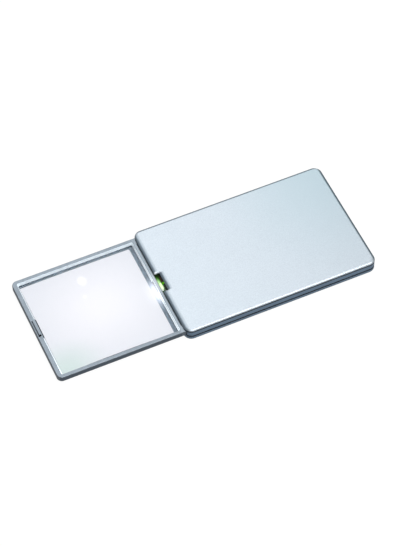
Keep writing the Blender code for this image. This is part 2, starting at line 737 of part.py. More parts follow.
def make_board():
    x1 = BOARD_FRONT_X + BOARD_DEPTH
    outline = rounded_rectangle(BOARD_FRONT_X, x1, -BOARD_WIDTH / 2, BOARD_WIDTH / 2, 0.6 * MM)
    holes = [circle(BOARD_SCREW_X, side * BOARD_SCREW_Y, BOARD_SCREW_HOLE, SMALL_STEPS) for side in (-1, 1)]
    plate("circuit_board", [outline, *holes], BOARD_BOTTOM, BOARD_TOP, BOARD_GREEN)
    small = 0.06 * MM
    lamp_x = BOARD_FRONT_X + 0.05 * MM
    lamp_half = LAMP_LENGTH / 2
    block(
        "lamp", lamp_x, lamp_x + LAMP_SIDE, LAMP_Y - lamp_half, LAMP_Y + lamp_half,
        PARTS_BOTTOM, PARTS_BOTTOM + LAMP_SIDE, LAMP_WHITE, small,
    )
    parts_x = lamp_x + LAMP_SIDE + SEAM
    block(
        "driver_chip", parts_x, parts_x + 1.7 * MM, -3.7 * MM, -0.35 * MM,
        PARTS_BOTTOM, PARTS_BOTTOM + 1.0 * MM, CHIP_BLACK, small,
    )
    block(
        "inductor", parts_x, parts_x + 2.6 * MM, 0.35 * MM, 3.9 * MM,
        PARTS_BOTTOM, PARTS_BOTTOM + 1.2 * MM, FERRITE, 0.2 * MM,
    )
    block(
        "resistor", parts_x, parts_x + 0.8 * MM, -7.0 * MM, -5.4 * MM,
        PARTS_BOTTOM, PARTS_BOTTOM + 0.45 * MM, RESISTOR_BLACK, small,
    )
    block(
        "light_window", FRAME_INNER_X - INNER_RAIL - 0.1 * MM, FRAME_INNER_X - FIT,
        -WINDOW_WIDTH / 2 + FIT, WINDOW_WIDTH / 2 - FIT, WINDOW_BOTTOM + FIT, WINDOW_TOP - FIT, CLEAR,
    )


def make_board_screws():
    for name, side in (("front_board_screw", -1), ("back_board_screw", 1)):
        profile = screw_profile(
            1.25 * MM, PARTS_BOTTOM, PARTS_BOTTOM + 0.7 * MM, 0.6 * MM, FRAME_BOTTOM + FIT, upward=False
        )
        screw = turned(name, BOARD_SCREW_X, side * BOARD_SCREW_Y, profile, STEEL, 20)
        recess = cross_recess(
            name, BOARD_SCREW_X, side * BOARD_SCREW_Y, PARTS_BOTTOM + 0.4 * MM, CASE_HEIGHT, 0.7 * MM
        )
        cut(screw, *recess)


def make_wipers():
    top = BOARD_BOTTOM - 0.15 * MM
    low = FLOOR_TOP + 0.12 * MM
    tip = low + 0.2 * MM
    steps = ((4.9 * MM, top), (3.9 * MM, top), (1.6 * MM, low), (0.9 * MM, tip))
    path = [(MOUTH_X + back, height) for back, height in steps]
    for name, side in (("negative_wiper", -1), ("positive_wiper", 1)):
        leaf(name, path, side * WIPER_Y, WIPER_WIDTH, 0.12 * MM, "XZ", SPRING_METAL)


def parent_pieces(name, pieces):
    """Hangs the pieces on an empty at the origin, which lies on the slide's axis."""
    carriage = bpy.data.objects.new(name, None)
    PIECES.objects.link(carriage)
    for piece in pieces:
        piece.parent = carriage


def main():
    make_top_cover()
    make_chassis()
    make_base_cover()
    make_case_screws()
    make_coin_cell()
    make_contacts()
    make_pads()
    make_battery_cap()
    fixed = set(PIECES.objects)
    make_lens_frame()
    make_lens()
    make_retainer()
    make_board()
    make_board_screws()
    make_wipers()
    parent_pieces("lens_slider", set(PIECES.objects) - fixed)


main()
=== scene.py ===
"""Looks of a slide-out pocket magnifier: the silver case, the lens slider with its light, the battery cap.

Each operator models one piece, or one group of like pieces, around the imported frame. The last one sets the
stage.
"""

from math import cos, radians, sin

import bmesh
import bpy
from bpy.props import FloatProperty, FloatVectorProperty, PointerProperty
from mathutils import Matrix, Vector


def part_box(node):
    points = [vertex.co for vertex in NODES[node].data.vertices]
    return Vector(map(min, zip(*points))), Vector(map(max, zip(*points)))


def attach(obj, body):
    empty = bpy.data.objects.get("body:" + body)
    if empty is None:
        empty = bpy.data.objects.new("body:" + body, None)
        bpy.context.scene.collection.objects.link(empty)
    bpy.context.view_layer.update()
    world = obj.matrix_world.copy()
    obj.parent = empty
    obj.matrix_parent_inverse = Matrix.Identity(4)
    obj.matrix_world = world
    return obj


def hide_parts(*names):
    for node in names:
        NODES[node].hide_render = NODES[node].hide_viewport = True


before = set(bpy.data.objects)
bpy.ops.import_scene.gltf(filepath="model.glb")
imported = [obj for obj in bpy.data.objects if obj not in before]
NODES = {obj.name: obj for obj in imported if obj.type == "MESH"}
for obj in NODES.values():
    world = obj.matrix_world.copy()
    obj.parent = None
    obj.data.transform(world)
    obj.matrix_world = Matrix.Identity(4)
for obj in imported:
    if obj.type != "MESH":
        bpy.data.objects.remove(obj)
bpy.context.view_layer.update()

bl_info = {
    "name": "Pocket magnifier",
    "version": (1, 0, 0),
    "blender": (4, 5, 0),
    "location": "View3D > Sidebar > Magnifier",
    "description": "Models and finishes a slide-out pocket magnifier with a light",
    "category": "Object",
}

MM = 0.001
CASE, SLIDER, CAP = "case", "slider", "cap"


# -------- settings


def length(name, description, millimetres):
    return FloatProperty(
        name=name, description=description, default=millimetres * MM, min=0.0, unit="LENGTH"
    )


def colour(name, description, default):
    return FloatVectorProperty(
        name=name, description=description, default=default, size=3, min=0.0, max=1.0, subtype="COLOR"
    )


class MagnifierCase(bpy.types.PropertyGroup):
    corner: length("Corner", "Radius of the case's corners, seen from above", 3.4)
    edge_width: length("Edge width", "How far the cover's rounded edge reaches inwards", 1.42)
    edge_drop: length("Edge drop", "How far the cover's rounded edge reaches down", 1.02)
    notch_edge: length("Notch edge", "Width of the rounded edge round the thumb notch", 1.42)
    shell_edge: length("Shell edge", "Rounding on the edges of the grey shells", 0.12)
    lacquer: colour("Lacquer", "The silver lacquer of the cover", (0.655, 0.722, 0.785))
    flake: colour("Flake", "The bright flakes in the silver lacquer", (0.80, 0.872, 0.935))
    shell: colour("Shell", "The grey plastic of the chassis and the base", (0.225, 0.325, 0.440))


class MagnifierSlider(bpy.types.PropertyGroup):
    corner: length("Corner", "Radius of the frame's outer corners", 2.3)
    edge: length("Edge", "Rounding on the frame's outer top edge", 0.3)
    lip_width: length("Lip width", "Width of the slope inside the rails", 0.62)
    lip_drop: length("Lip drop", "Depth of the slope inside the rails", 1.26)
    paint: colour("Frame", "The grey of the lens frame", (0.300, 0.345, 0.390))
    # Painted light: the slope's bright colour, which also glows, stands in for light on the frame's grey.
    slope: colour("Slope", "The bright slope between the frame and the lens", (0.82, 0.91, 0.98))
    ledge: colour("Ledge", "The dark ring under the edge of the lens", (0.27, 0.39, 0.46))
    clear: colour("Lens", "The tint of the clear lens", (0.87, 0.873, 0.92))


class MagnifierLight(bpy.types.PropertyGroup):
    board: colour("Board", "The green lacquer of the circuit board", (0.015, 0.045, 0.008))
    board_glow: colour("Board glow", "The board where the lamp lights it", (0.10, 0.50, 0.0))
    lamp: colour("Lamp", "The light of the lamp", (0.96, 1.0, 0.92))
    strength: FloatProperty(name="Strength", description="Brightness of the lamp", default=0.50, min=0.0)


class MagnifierStage(bpy.types.PropertyGroup):
    lens: FloatProperty(name="Lens", description="Focal length of the camera", default=150.7, unit="CAMERA")
    azimuth: FloatProperty(
        name="Azimuth", description="Camera's turn from the front", default=radians(-24.07), subtype="ANGLE"
    )
    elevation: FloatProperty(
        name="Elevation", description="Camera's height angle", default=radians(53.91), subtype="ANGLE"
    )
    roll: FloatProperty(name="Roll", description="Camera's tilt", default=radians(-0.48), subtype="ANGLE")
    distance: length("Distance", "From the camera to the point that it looks at", 949.39)
    floor: colour("Floor", "The pale floor", (0.93, 0.93, 0.93))
    floor_bounce: FloatProperty(
        name="Floor bounce", description="Light from the floor on the object", default=0.22
    )
    key: FloatProperty(name="Key", description="Strength of the large light", default=1.0, min=0.0)


# -------- modelling


def mm(*lengths):
    """A tuple of millimetre lengths in metres."""
    return tuple(value * MM for value in lengths)


def centre_of(node):
    low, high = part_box(node)
    return (low + high) / 2


def done():
    """Back from edit mode."""
    bpy.ops.object.mode_set(mode="OBJECT")


def deselect():
    if bpy.context.mode != "OBJECT":
        done()
    bpy.ops.object.select_all(action="DESELECT")


def activate(obj):
    deselect()
    obj.select_set(True)
    bpy.context.view_layer.objects.active = obj


def named(name):
    """Names the primitive that was just added, and applies its place to its mesh."""
    obj = bpy.context.object
    obj.name = name
    obj.data.name = name
    bpy.ops.object.transform_apply(location=True, rotation=True, scale=True)
    return obj


def box(name, low, high):
    low, high = Vector(low), Vector(high)
    deselect()
    bpy.ops.mesh.primitive_cube_add(size=1.0, location=(low + high) / 2, scale=high - low)
    return named(name)


def box_over(name, low, high, bottom, top):
    """A box over the plan between two points."""
    return box(name, (low.x, low.y, bottom), (high.x, high.y, top))


def disc(name, centre, radius, bottom, top, sides=48):
    """An upright cylinder."""
    deselect()
    place = (centre[0], centre[1], (top + bottom) / 2)
    bpy.ops.mesh.primitive_cylinder_add(vertices=sides, radius=radius, depth=top - bottom, location=place)
    return named(name)


def merged_copy(name, node):
    """A new mesh that starts as a copy of a CAD node's, with its triangles joined up."""
    obj = bpy.data.objects.new(name, NODES[node].data.copy())
    bpy.context.scene.collection.objects.link(obj)
    obj.data.materials.clear()
    pick(obj, "VERT")
    bpy.ops.mesh.remove_doubles(threshold=0.001 * MM)
    bpy.ops.mesh.dissolve_limited(angle_limit=radians(0.5))
    done()
    return obj


def pick(obj, kind, test=lambda part: True):
    """Opens the object in edit mode and selects the vertices, edges or faces that pass the test."""
    activate(obj)
    bpy.ops.object.mode_set(mode="EDIT")
    bpy.ops.mesh.select_mode(type=kind)
    bpy.ops.mesh.select_all(action="DESELECT")
    mesh = bmesh.from_edit_mesh(obj.data)
    parts = {"VERT": mesh.verts, "EDGE": mesh.edges, "FACE": mesh.faces}[kind]
    for part in parts:
        if test(part):
            part.select_set(True)
    mesh.select_flush_mode()
    bmesh.update_edit_mesh(obj.data)


def near(value, target, within=0.01 * MM):
    return abs(value - target) < within


def is_upright(edge):
    a, b = (v.co for v in edge.verts)
    return near(a.x, b.x) and near(a.y, b.y)


def lies_at(height, where=lambda point: True):
    """A test for edges that lie flat at this height, and whose middle passes another test."""
    def test(edge):
        a, b = (v.co for v in edge.verts)
        return near(a.z, height) and near(b.z, height) and where((a + b) / 2)
    return test


def bevel(obj, width, segments, test=lambda edge: True):
    pick(obj, "EDGE", test)
    bpy.ops.mesh.bevel(offset=width, segments=segments, profile=0.5, affect="EDGES", clamp_overlap=False)
    done()


def extrude_up(rise):
    """Extrudes the selected faces along Z."""
    bpy.ops.mesh.extrude_region_move(TRANSFORM_OT_translate={"value": (0.0, 0.0, rise)})


def dish(obj, margin, depth, flatness=0.9):
    """Sinks the middle of the top. Faces tilted further than flatness are left out."""
    pick(obj, "FACE", lambda f: f.normal.z > flatness)
    bpy.ops.mesh.inset(thickness=margin)
    bpy.ops.transform.translate(value=(0.0, 0.0, -depth))
    done()


def round_uprights(obj, radius, segments=16, where=lambda point: True):
    bevel(obj, radius, segments, lambda e: is_upright(e) and where((e.verts[0].co + e.verts[1].co) / 2))


def boolean(obj, operation, *others):
    for other in others:
        modifier = obj.modifiers.new(operation, "BOOLEAN")
        modifier.operation = operation
        modifier.object = other
        modifier.solver = "EXACT"
        activate(obj)
        bpy.ops.object.modifier_apply(modifier=modifier.name)
        bpy.data.objects.remove(other, do_unlink=True)


def cut(obj, *cutters):
    boolean(obj, "DIFFERENCE", *cutters)


def join(obj, *others):
    boolean(obj, "UNION", *others)


def tidy_mesh(obj):
    """Joins what the Booleans split, and points every face outwards."""
    pick(obj, "VERT")
    bpy.ops.mesh.remove_doubles(threshold=0.0005 * MM)
    bpy.ops.mesh.dissolve_limited(angle_limit=radians(0.3))
    bpy.ops.mesh.normals_make_consistent(inside=False)
    done()


def set_material(obj, finish):
    obj.data.materials.clear()
    obj.data.materials.append(finish.material)


def finish_piece(obj, finish, body, slot, *nodes, angle=35):
    """Smooths the shading, gives the finish, and sets the piece on its body in place of its CAD nodes."""
    activate(obj)
    bpy.ops.object.shade_smooth_by_angle(angle=radians(angle))
    normals = obj.modifiers.new("Normals", "WEIGHTED_NORMAL")
    normals.keep_sharp = True
    bpy.ops.object.modifier_apply(modifier=normals.name)
    set_material(obj, finish)
    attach(obj, body)
    if nodes:
        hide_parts(*nodes)
    return obj


def paint_nodes(finish, *names):
    """CAD nodes that keep their shape get a finer finish."""
    for name in names:
        set_material(NODES[name], finish)


# -------- materials


class Nodes:
    """Adds nodes to a shader tree. Values may be numbers, colours or other nodes' sockets."""

    def __init__(self, tree):
        self.tree = tree

    def node(self, kind, inputs=(), **settings):
        made = self.tree.nodes.new("ShaderNode" + kind)
        for setting, value in settings.items():
            setattr(made, setting, value)
        for socket, value in dict(inputs).items():
            self.set(made.inputs[socket], value)
        return made

    def set(self, socket, value):
        if isinstance(value, bpy.types.NodeSocket):
            self.tree.links.new(value, socket)
        elif hasattr(value, "__len__") and len(value) < len(socket.default_value):
            socket.default_value = (*value, 1.0)
        else:
            socket.default_value = value

    def math(self, operation, first, second=0.0):
        made = self.node("Math", operation=operation)
        self.set(made.inputs[0], first)
        self.set(made.inputs[1], second)
        return made.outputs[0]

    def times(self, first, second):
        return self.math("MULTIPLY", first, second)

    def plus(self, first, second):
        return self.math("ADD", first, second)

    def most(self, first, second):
        return self.math("MAXIMUM", first, second)

    def span(self, value, low, high, to_low=0.0, to_high=1.0, smooth=False):
        """Maps low to high onto to_low to to_high, and holds the ends."""
        made = self.node(
            "MapRange",
            {"Value": value, "From Min": low, "From Max": high, "To Min": to_low, "To Max": to_high},
            interpolation_type="SMOOTHSTEP" if smooth else "LINEAR",
        )
        return made.outputs["Result"]


class Finish(Nodes):
    """A material whose Principled shader is fed by procedural nodes."""

    def __init__(self, name, roughness=0.4, **sockets):
        self.material = bpy.data.materials.new(name)
        self.material.use_nodes = True
        super().__init__(self.material.node_tree)
        self.shader = self.tree.nodes["Principled BSDF"]
        self.shader.inputs["Roughness"].default_value = roughness
        for socket, value in sockets.items():
            self.shader.inputs[socket.replace("_", " ")].default_value = value
        self.place = self.tree.nodes.new("ShaderNodeTexCoord").outputs["Object"]

    def feed(self, socket, value):
        self.set(self.shader.inputs[socket], value)

    def colour(self, amount, first, second):
        self.feed("Base Color", self.blend(amount, first, second))

    def rough(self, noise, low, high):
        """Roughness that wanders between two values with the noise."""
        self.feed("Roughness", self.span(noise, 0.3, 0.7, low, high))

    def mapped(self, location=(0, 0, 0), scale=(1, 1, 1)):
        """The place on the object, moved to this centre and divided by this scale."""
        inputs = {"Vector": self.place, "Location": location, "Scale": scale}
        return self.node("Mapping", inputs, vector_type="TEXTURE").outputs["Vector"]

    def noise(self, size, detail=3.0, vector=None):
        """Soft noise whose spots are about this large."""
        inputs = {"Vector": vector or self.place, "Scale": 1.0 / size, "Detail": detail}
        return self.node("TexNoise", inputs).outputs["Fac"]

    def cells(self, size, vector=None):
        """A random value for each grain of about this size."""
        made = self.node("TexVoronoi", {"Vector": vector or self.place, "Scale": 1.0 / size})
        return self.node("SeparateColor", {"Color": made.outputs["Color"]}).outputs["Red"]

    def blend(self, amount, first, second):
        made = self.node("Mix", data_type="RGBA")
        self.set(made.inputs["Factor"], amount)
        self.set(made.inputs[6], first)
        self.set(made.inputs[7], second)
        return made.outputs[2]

    def bump(self, height, depth, strength=1.0, normal=None):
        """Adds relief of this depth to what the shader shows."""
        made = self.node("Bump", {"Height": height, "Distance": depth, "Strength": strength})
        if normal is not None:
            self.set(made.inputs["Normal"], normal)
        self.feed("Normal", made.outputs["Normal"])
        return made.outputs["Normal"]

    def spot(self, centre, reach):
        """1 at a point, falling smoothly to 0 at this reach along each axis."""
        far = self.node("VectorMath", {0: self.mapped(centre, reach)}, operation="LENGTH").outputs["Value"]
        return self.span(far, 0.0, 1.0, 1.0, 0.0, smooth=True)

    def axis(self, letter):
        return self.node("SeparateXYZ", {"Vector": self.place}).outputs[letter]

    def between(self, letter, low, high, soft=0.1 * MM):
        """1 between two places on an axis, and 0 outside them."""
        value = self.axis(letter)
        return self.times(self.span(value, low - soft, low), self.span(value, high, high + soft, 1.0, 0.0))

    def shade(self, amount, tint=(0.006, 0.010, 0.018)):
        """Blends the base colour towards a tint, dark if none is given, where the amount is 1."""
        before = self.shader.inputs["Base Color"].links[0].from_socket
        self.colour(amount, before, tint)

    def glow(self, tint, strength):
        self.feed("Emission Color", tint)
        self.feed("Emission Strength", strength)


def lacquer_finish(settings):
    """Silver lacquer: fine flakes under a thin coat, with painted shade where the shape turns away or dips,
    and a painted highlight at the notch.
    """
    made = Finish("silver_lacquer", 0.34, Metallic=0.5, Coat_Weight=0.35, Coat_Roughness=0.16)
    flakes = made.cells(0.16 * MM)
    drift = made.span(made.noise(9 * MM, 2.0), 0.3, 0.7, 0.0, 0.08)
    sparkle = made.span(flakes, 0.55, 1.0)
    speckle = made.span(made.noise(0.35 * MM, 1.0), 0.3, 0.7, 0.0, 0.5)
    tone = made.plus(made.times(sparkle, 0.45), made.plus(speckle, drift))
    made.colour(tone, settings.lacquer, settings.flake)
    made.rough(made.noise(0.7 * MM), 0.30, 0.40)
    peel = made.bump(made.noise(0.5 * MM, 2.0), 0.004 * MM)
    made.bump(flakes, 0.002 * MM, normal=peel)

    low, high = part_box("top_cover")
    # Painted shade: the lacquer turns darker and cooler towards the far right corner, where the light falls
    # off.
    far_corner_shade = made.spot(tuple(high), mm(60, 70, 20))
    made.shade(made.times(far_corner_shade, 0.85), (0.60, 0.745, 0.81))
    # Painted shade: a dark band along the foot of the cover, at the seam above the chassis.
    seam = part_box("chassis")[1].z
    made.shade(made.between("Z", seam, seam + 0.42 * MM, 0.16 * MM), (0.035, 0.05, 0.075))
    # Painted shade: the rounded edges at the mouth and round the thumb notch turn dark and blue, as they
    # face away from the light.
    mouth_shade = made.between("X", low.x - MM, low.x + 0.6 * MM, 1.5 * MM)
    notch = made.times(
        made.between("X", low.x - MM, low.x + NOTCH_DEPTH + 0.5 * MM, 1.4 * MM),
        made.between("Y", -NOTCH_WIDTH / 2 - 0.2 * MM, NOTCH_WIDTH / 2 - 0.4 * MM, 0.3 * MM),
    )
    made.shade(made.times(made.most(mouth_shade, notch), 0.62), (0.02, 0.09, 0.15))
    # Painted shade: a grey outline along the far and right-hand rounded edges.
    far_rim_shade = made.most(
        made.between("X", high.x - 0.75 * MM, high.x + MM, 0.45 * MM),
        made.between("Y", high.y - 0.8 * MM, high.y + MM, 0.45 * MM),
    )
    made.shade(made.times(far_rim_shade, 0.78), (0.02, 0.08, 0.12))
    # Painted highlight: a white glow on the far corner of the notch's rounded edge.
    notch_corner_highlight = (low.x + 0.6 * MM, NOTCH_WIDTH / 2 + 0.3 * MM, high.z - 0.2 * MM)
    made.glow((1.0, 0.97, 1.0), made.times(made.spot(notch_corner_highlight, mm(1.2, 1.0, 1.2)), 0.6))
    return made


def plastic_finish(
    name, tint, roughness=0.42, grain=0.09 * MM, depth=0.006 * MM, metallic=0.0, variation=0.12
):
    """Moulded plastic: fine spark-eroded grain, faint flow clouds, and roughness that wanders."""
    made = Finish(name, roughness, Metallic=metallic)
    clouds = made.noise(6 * MM, 3.0)
    grit = made.noise(grain, 2.0)
    darker = tuple(c * (1 - variation) for c in tint)
    lighter = tuple(min(1.0, c * (1 + variation)) for c in tint)
    tone = made.plus(made.times(clouds, 0.6), made.times(grit, 0.4))
    made.colour(made.span(tone, 0.3, 0.7), darker, lighter)
    made.rough(made.noise(2.5 * MM), roughness - 0.05, roughness + 0.06)
    made.bump(grit, depth)
    return made


def metal_finish(name, tint, roughness, brushed=(1.0, 1.0, 1.0), size=0.05 * MM):
    """Bare metal with fine drawn lines along the axis that brushed stretches, and a few dull spots."""
    made = Finish(name, roughness, Metallic=1.0)
    lines = made.noise(size, 3.0, made.mapped(scale=brushed))
    spots = made.noise(1.2 * MM, 4.0)
    dull = tuple(c * 0.78 for c in tint)
    tone = made.plus(made.times(lines, 0.5), made.times(spots, 0.5))
    made.colour(made.span(tone, 0.35, 0.65), dull, tint)
    made.rough(spots, roughness - 0.06, roughness + 0.1)
    made.bump(lines, 0.003 * MM)
    return made


# -------- case


PIN_PLACES = [(x, side * y) for x, y in (mm(38.0, 13.0), mm(20.6, 11.0)) for side in (-1, 1)]
PIN_RADIUS = 0.7 * MM
PIN_BOTTOM = 3.4 * MM
COVER_BOTTOM_GAP = 0.18 * MM
NOTCH_DEPTH = 2.15 * MM
NOTCH_WIDTH = 9.4 * MM
NOTCH_CORNER = 0.45 * MM
CASE_WALL = 1.4 * MM
SCREW_CROSS_DEPTH = 0.38 * MM
CASE_SCREW_HEAD = 0.6 * MM
CASE_SCREW_SHAFT = 0.65 * MM
CAP_FLANGE_TOP = 0.8 * MM
CAP_NECK_RADIUS = 9.8 * MM
CAP_LUG_BOTTOM = 1.75 * MM
CAP_LUG_HALF_WIDTH = 2.8 * MM
CAP_MARK_OFFSET = 9.2 * MM


class MAGNIFIER_OT_top_cover(bpy.types.Operator):
    """Model the silver cover, with its rounded edge, thumb notch and locating pins"""
    bl_idname = "magnifier.top_cover"
    bl_label = "Top cover"

    def execute(self, context):
        settings = context.scene.magnifier_case
        low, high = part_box("base_cover")
        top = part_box("top_cover")[1].z
        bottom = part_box("chassis")[1].z + COVER_BOTTOM_GAP
        cover = box_over("silver_cover", low, high, bottom, top)
        round_uprights(cover, settings.corner, 20)
        notch_low = Vector((low.x - MM, -NOTCH_WIDTH / 2))
        notch_high = Vector((low.x + NOTCH_DEPTH, NOTCH_WIDTH / 2))
        notch = box_over("notch", notch_low, notch_high, bottom - MM, top + MM)
        round_uprights(notch, NOTCH_CORNER, 6, lambda p: p.x > low.x)
        cut(cover, notch)
        tidy_mesh(cover)
        self.round_rim(cover, settings, low.x, bottom, top)
        pins = [disc("pin", place, PIN_RADIUS, PIN_BOTTOM, bottom + 0.3 * MM, 24) for place in PIN_PLACES]
        for pin in pins:
            bevel(pin, 0.15 * MM, 2, lies_at(PIN_BOTTOM))
        join(cover, *pins)
        finish_piece(cover, lacquer_finish(settings), CASE, "silver_lacquer", "top_cover")
        return {"FINISHED"}

    def round_rim(self, cover, settings, mouth_x, bottom, top):
        """Bevels the rim round while the cover stands taller, then presses it flat: wider than deep."""
        taller = settings.edge_width / settings.edge_drop
        pick(cover, "VERT")
        bpy.ops.transform.resize(value=(1.0, 1.0, taller), center_override=(0.0, 0.0, bottom))
        done()
        tall_top = bottom + (top - bottom) * taller
        weights = cover.data.attributes.new("bevel_weight_edge", "FLOAT", "EDGE").data
        notch_share = settings.notch_edge / settings.edge_width
        points = cover.data.vertices
        for edge in cover.data.edges:
            a, b = (points[i].co for i in edge.vertices)
            if near(a.z, tall_top) and near(b.z, tall_top):
                middle = (a + b) / 2
                in_notch = middle.x > mouth_x + 0.01 * MM and middle.x < mouth_x + 2 * NOTCH_DEPTH
                in_notch = in_notch and abs(middle.y) < NOTCH_WIDTH / 2 + 0.01 * MM
                weights[edge.index].value = notch_share if in_notch else 1.0
        rim = cover.modifiers.new("Rim", "BEVEL")
        rim.limit_method = "WEIGHT"
        rim.width = settings.edge_width
        rim.segments = 8
        rim.use_clamp_overlap = False
        activate(cover)
        bpy.ops.object.modifier_apply(modifier=rim.name)
        pick(cover, "VERT")
        bpy.ops.transform.resize(value=(1.0, 1.0, 1.0 / taller), center_override=(0.0, 0.0, bottom))
        done()


def shell_finish(name, settings):
    """Grey plastic, dark at the foot and along both seams, where the light doesn't reach."""
    made = plastic_finish(name, settings.shell, 0.4, metallic=0.15)
    low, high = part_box("chassis")
    # Painted shade: dark bands at the foot and along both seams.
    seams = (
        made.between("Z", 0.12 * MM, 0.40 * MM, 0.1 * MM),
        made.between("Z", low.z - 0.44 * MM, low.z + 0.32 * MM, 0.12 * MM),
        made.between("Z", high.z - 0.14 * MM, high.z + MM, 0.12 * MM),
    )
    for seam in seams:
        made.shade(made.times(seam, 0.97))
    return made


class MAGNIFIER_OT_shells(bpy.types.Operator):
    """Soften the outer edges of the grey chassis and of the base below it"""
    bl_idname = "magnifier.shells"
    bl_label = "Chassis and base"

    def execute(self, context):
        settings = context.scene.magnifier_case
        grey = shell_finish("case_grey", settings)
        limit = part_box("chassis")[1]

        def outer(point):
            return abs(point.y) > limit.y - CASE_WALL or point.x > limit.x - CASE_WALL

        for name, node in (("side_band", "chassis"), ("underside_shell", "base_cover")):
            low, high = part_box(node)
            shell = merged_copy(name, node)
            bevel(shell, settings.shell_edge, 2, lies_at(high.z, outer))
            if node == "chassis":
                bevel(shell, settings.shell_edge, 2, lies_at(low.z, outer))
            finish_piece(shell, grey, CASE, "case_grey", node)
        return {"FINISHED"}


def screw(node, head, shaft_radius, up=False):
    """A pan-head screw with a cross recess, as tall as its CAD node. Its shaft points down, or up."""
    low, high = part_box(node)
    x, y, _ = centre_of(node)
    radius = (high.x - low.x) / 2
    face, seat, shaft_end = (low.z, low.z + head, high.z) if up else (high.z, high.z - head, low.z)
    made = disc(f"cross_{node}", (x, y), radius, min(face, seat), max(face, seat), 40)
    bevel(made, 0.22 * MM, 4, lies_at(face))
    pick(made, "FACE", lambda f: near(f.calc_center_median().z, seat) and abs(f.normal.z) > 0.9)
    bpy.ops.mesh.inset(thickness=radius - shaft_radius)
    extrude_up(shaft_end - seat)
    bpy.ops.mesh.bevel(offset=0.2 * MM, segments=2, affect="EDGES")
    done()
    reach, half, depth = radius * 0.58, 0.17 * MM, SCREW_CROSS_DEPTH
    low, high = (face - MM, face + depth) if up else (face - depth, face + MM)
    arms = [
        box("arm_x", (x - reach, y - half, low), (x + reach, y + half, high)),
        box("arm_y", (x - half, y - reach, low), (x + half, y + reach, high)),
    ]
    cut(made, *arms)
    return made


class MAGNIFIER_OT_case_screws(bpy.types.Operator):
    """Model the four screws that hold the case together from below"""
    bl_idname = "magnifier.case_screws"
    bl_label = "Case screws"

    def execute(self, context):
        steel = metal_finish("screw_steel", (0.60, 0.61, 0.63), 0.28)
        for number in range(1, 5):
            node = f"case_screw_{number}"
            made = screw(node, CASE_SCREW_HEAD, CASE_SCREW_SHAFT, up=True)
            finish_piece(made, steel, CASE, "steel", node)
        return {"FINISHED"}


class MAGNIFIER_OT_battery_cap(bpy.types.Operator):
    """Model the round battery cap with its coin slot, mark and bayonet lugs"""
    bl_idname = "magnifier.battery_cap"
    bl_label = "Battery cap"

    def execute(self, context):
        settings = context.scene.magnifier_case
        low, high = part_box("battery_cap")
        centre = centre_of("battery_cap")
        radius = (high.x - low.x) / 2
        cap = disc("coin_slot_cap", centre, radius, low.z, CAP_FLANGE_TOP, 96)
        bevel(cap, 0.2 * MM, 3, lies_at(low.z))
        pick(cap, "FACE", lambda f: near(f.calc_center_median().z, CAP_FLANGE_TOP) and f.normal.z > 0.9)
        bpy.ops.mesh.inset(thickness=radius - CAP_NECK_RADIUS)
        extrude_up(high.z - CAP_FLANGE_TOP)
        done()
        lugs = disc("lugs", centre, radius - 0.1 * MM, CAP_LUG_BOTTOM, high.z - 0.01 * MM, 96)
        across = Vector((CAP_LUG_HALF_WIDTH, 2 * radius, 2 * MM))
        boolean(lugs, "INTERSECT", box("sector", centre - across, centre + across))
        join(cap, lugs)
        half = Vector(mm(6.0, 0.65, 0.0))
        slot = box_over("slot", centre - half, centre + half, low.z - MM, low.z + 0.45 * MM)
        round_uprights(slot, 0.58 * MM, 6)
        mark_place = (centre.x, centre.y - CAP_MARK_OFFSET)
        mark = disc("mark", mark_place, 0.45 * MM, low.z - MM, low.z + 0.15 * MM, 24)
        cut(cap, slot, mark)
        finish_piece(cap, shell_finish("cap_grey", settings), CAP, "case_grey", "battery_cap")
        return {"FINISHED"}


class MAGNIFIER_OT_power(bpy.types.Operator):
    """Finish the coin cell, its contacts and strips, the foam pad and the glide strips"""
    bl_idname = "magnifier.power"
    bl_label = "Cell and contacts"

    def execute(self, context):
        steel = metal_finish("cell_steel", (0.63, 0.63, 0.62), 0.24, (1, 12, 1))
        spring = metal_finish("spring_metal", (0.68, 0.65, 0.58), 0.25, (1, 10, 1))
        copper = metal_finish("copper", (0.82, 0.47, 0.28), 0.28, (14, 1, 1))
        foam = plastic_finish("foam", (0.03, 0.03, 0.032), 0.9, *mm(0.3, 0.12), variation=0.4)
        tape = plastic_finish("glide_tape", (0.78, 0.79, 0.78), 0.5, *mm(0.2, 0.01), variation=0.05)
        paint_nodes(steel, "coin_cell")
        paint_nodes(spring, "positive_contact", "negative_contact", "positive_wiper", "negative_wiper")
        paint_nodes(copper, "positive_strip", "negative_strip")
        paint_nodes(foam, "cell_pad")
        paint_nodes(tape, "front_glide_strip", "back_glide_strip")
        return {"FINISHED"}


# -------- slider


GRIP_RISE = 0.12 * MM
STOP_REACH = 0.92 * MM
ARM_WIDTH = 3.08 * MM
LENS_RIM = 0.52 * MM
LENS_RIM_TOP = 3.0 * MM
OPENING_CORNER = 0.6 * MM
GRIP_BOTTOM = 3.85 * MM
GRIP_CHAMFER = 0.5 * MM
GRIP_CHAMFER_DROP = 0.45 * MM
SHELF_THICKNESS = 0.3 * MM
STOP_LENGTH = 3.8 * MM
STOP_BOTTOM, STOP_TOP = mm(2.9, 3.9)
GROOVE_INSET = 0.5 * MM
GROOVE_WIDTH = 0.55 * MM
GROOVE_DEPTH = 0.5 * MM
PIT_DEPTH = 1.3 * MM
REFLECTION = mm(-71.4, 15.2)
FAINT_REFLECTION = mm(-73.4, 7.2)
BOARD_SCREW_HOLE = 0.9 * MM
BOARD_SCREW_HEAD = 0.7 * MM
BOARD_SCREW_SHAFT = 0.6 * MM
BOARD_SCREWS = ("front_board_screw", "back_board_screw")


def opening():
    """The lens opening at the foot of its slope: the lens rim's limits, less the rim."""
    low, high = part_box("lens")
    inset = Vector((LENS_RIM, LENS_RIM, 0.0))
    return low + inset, high - inset


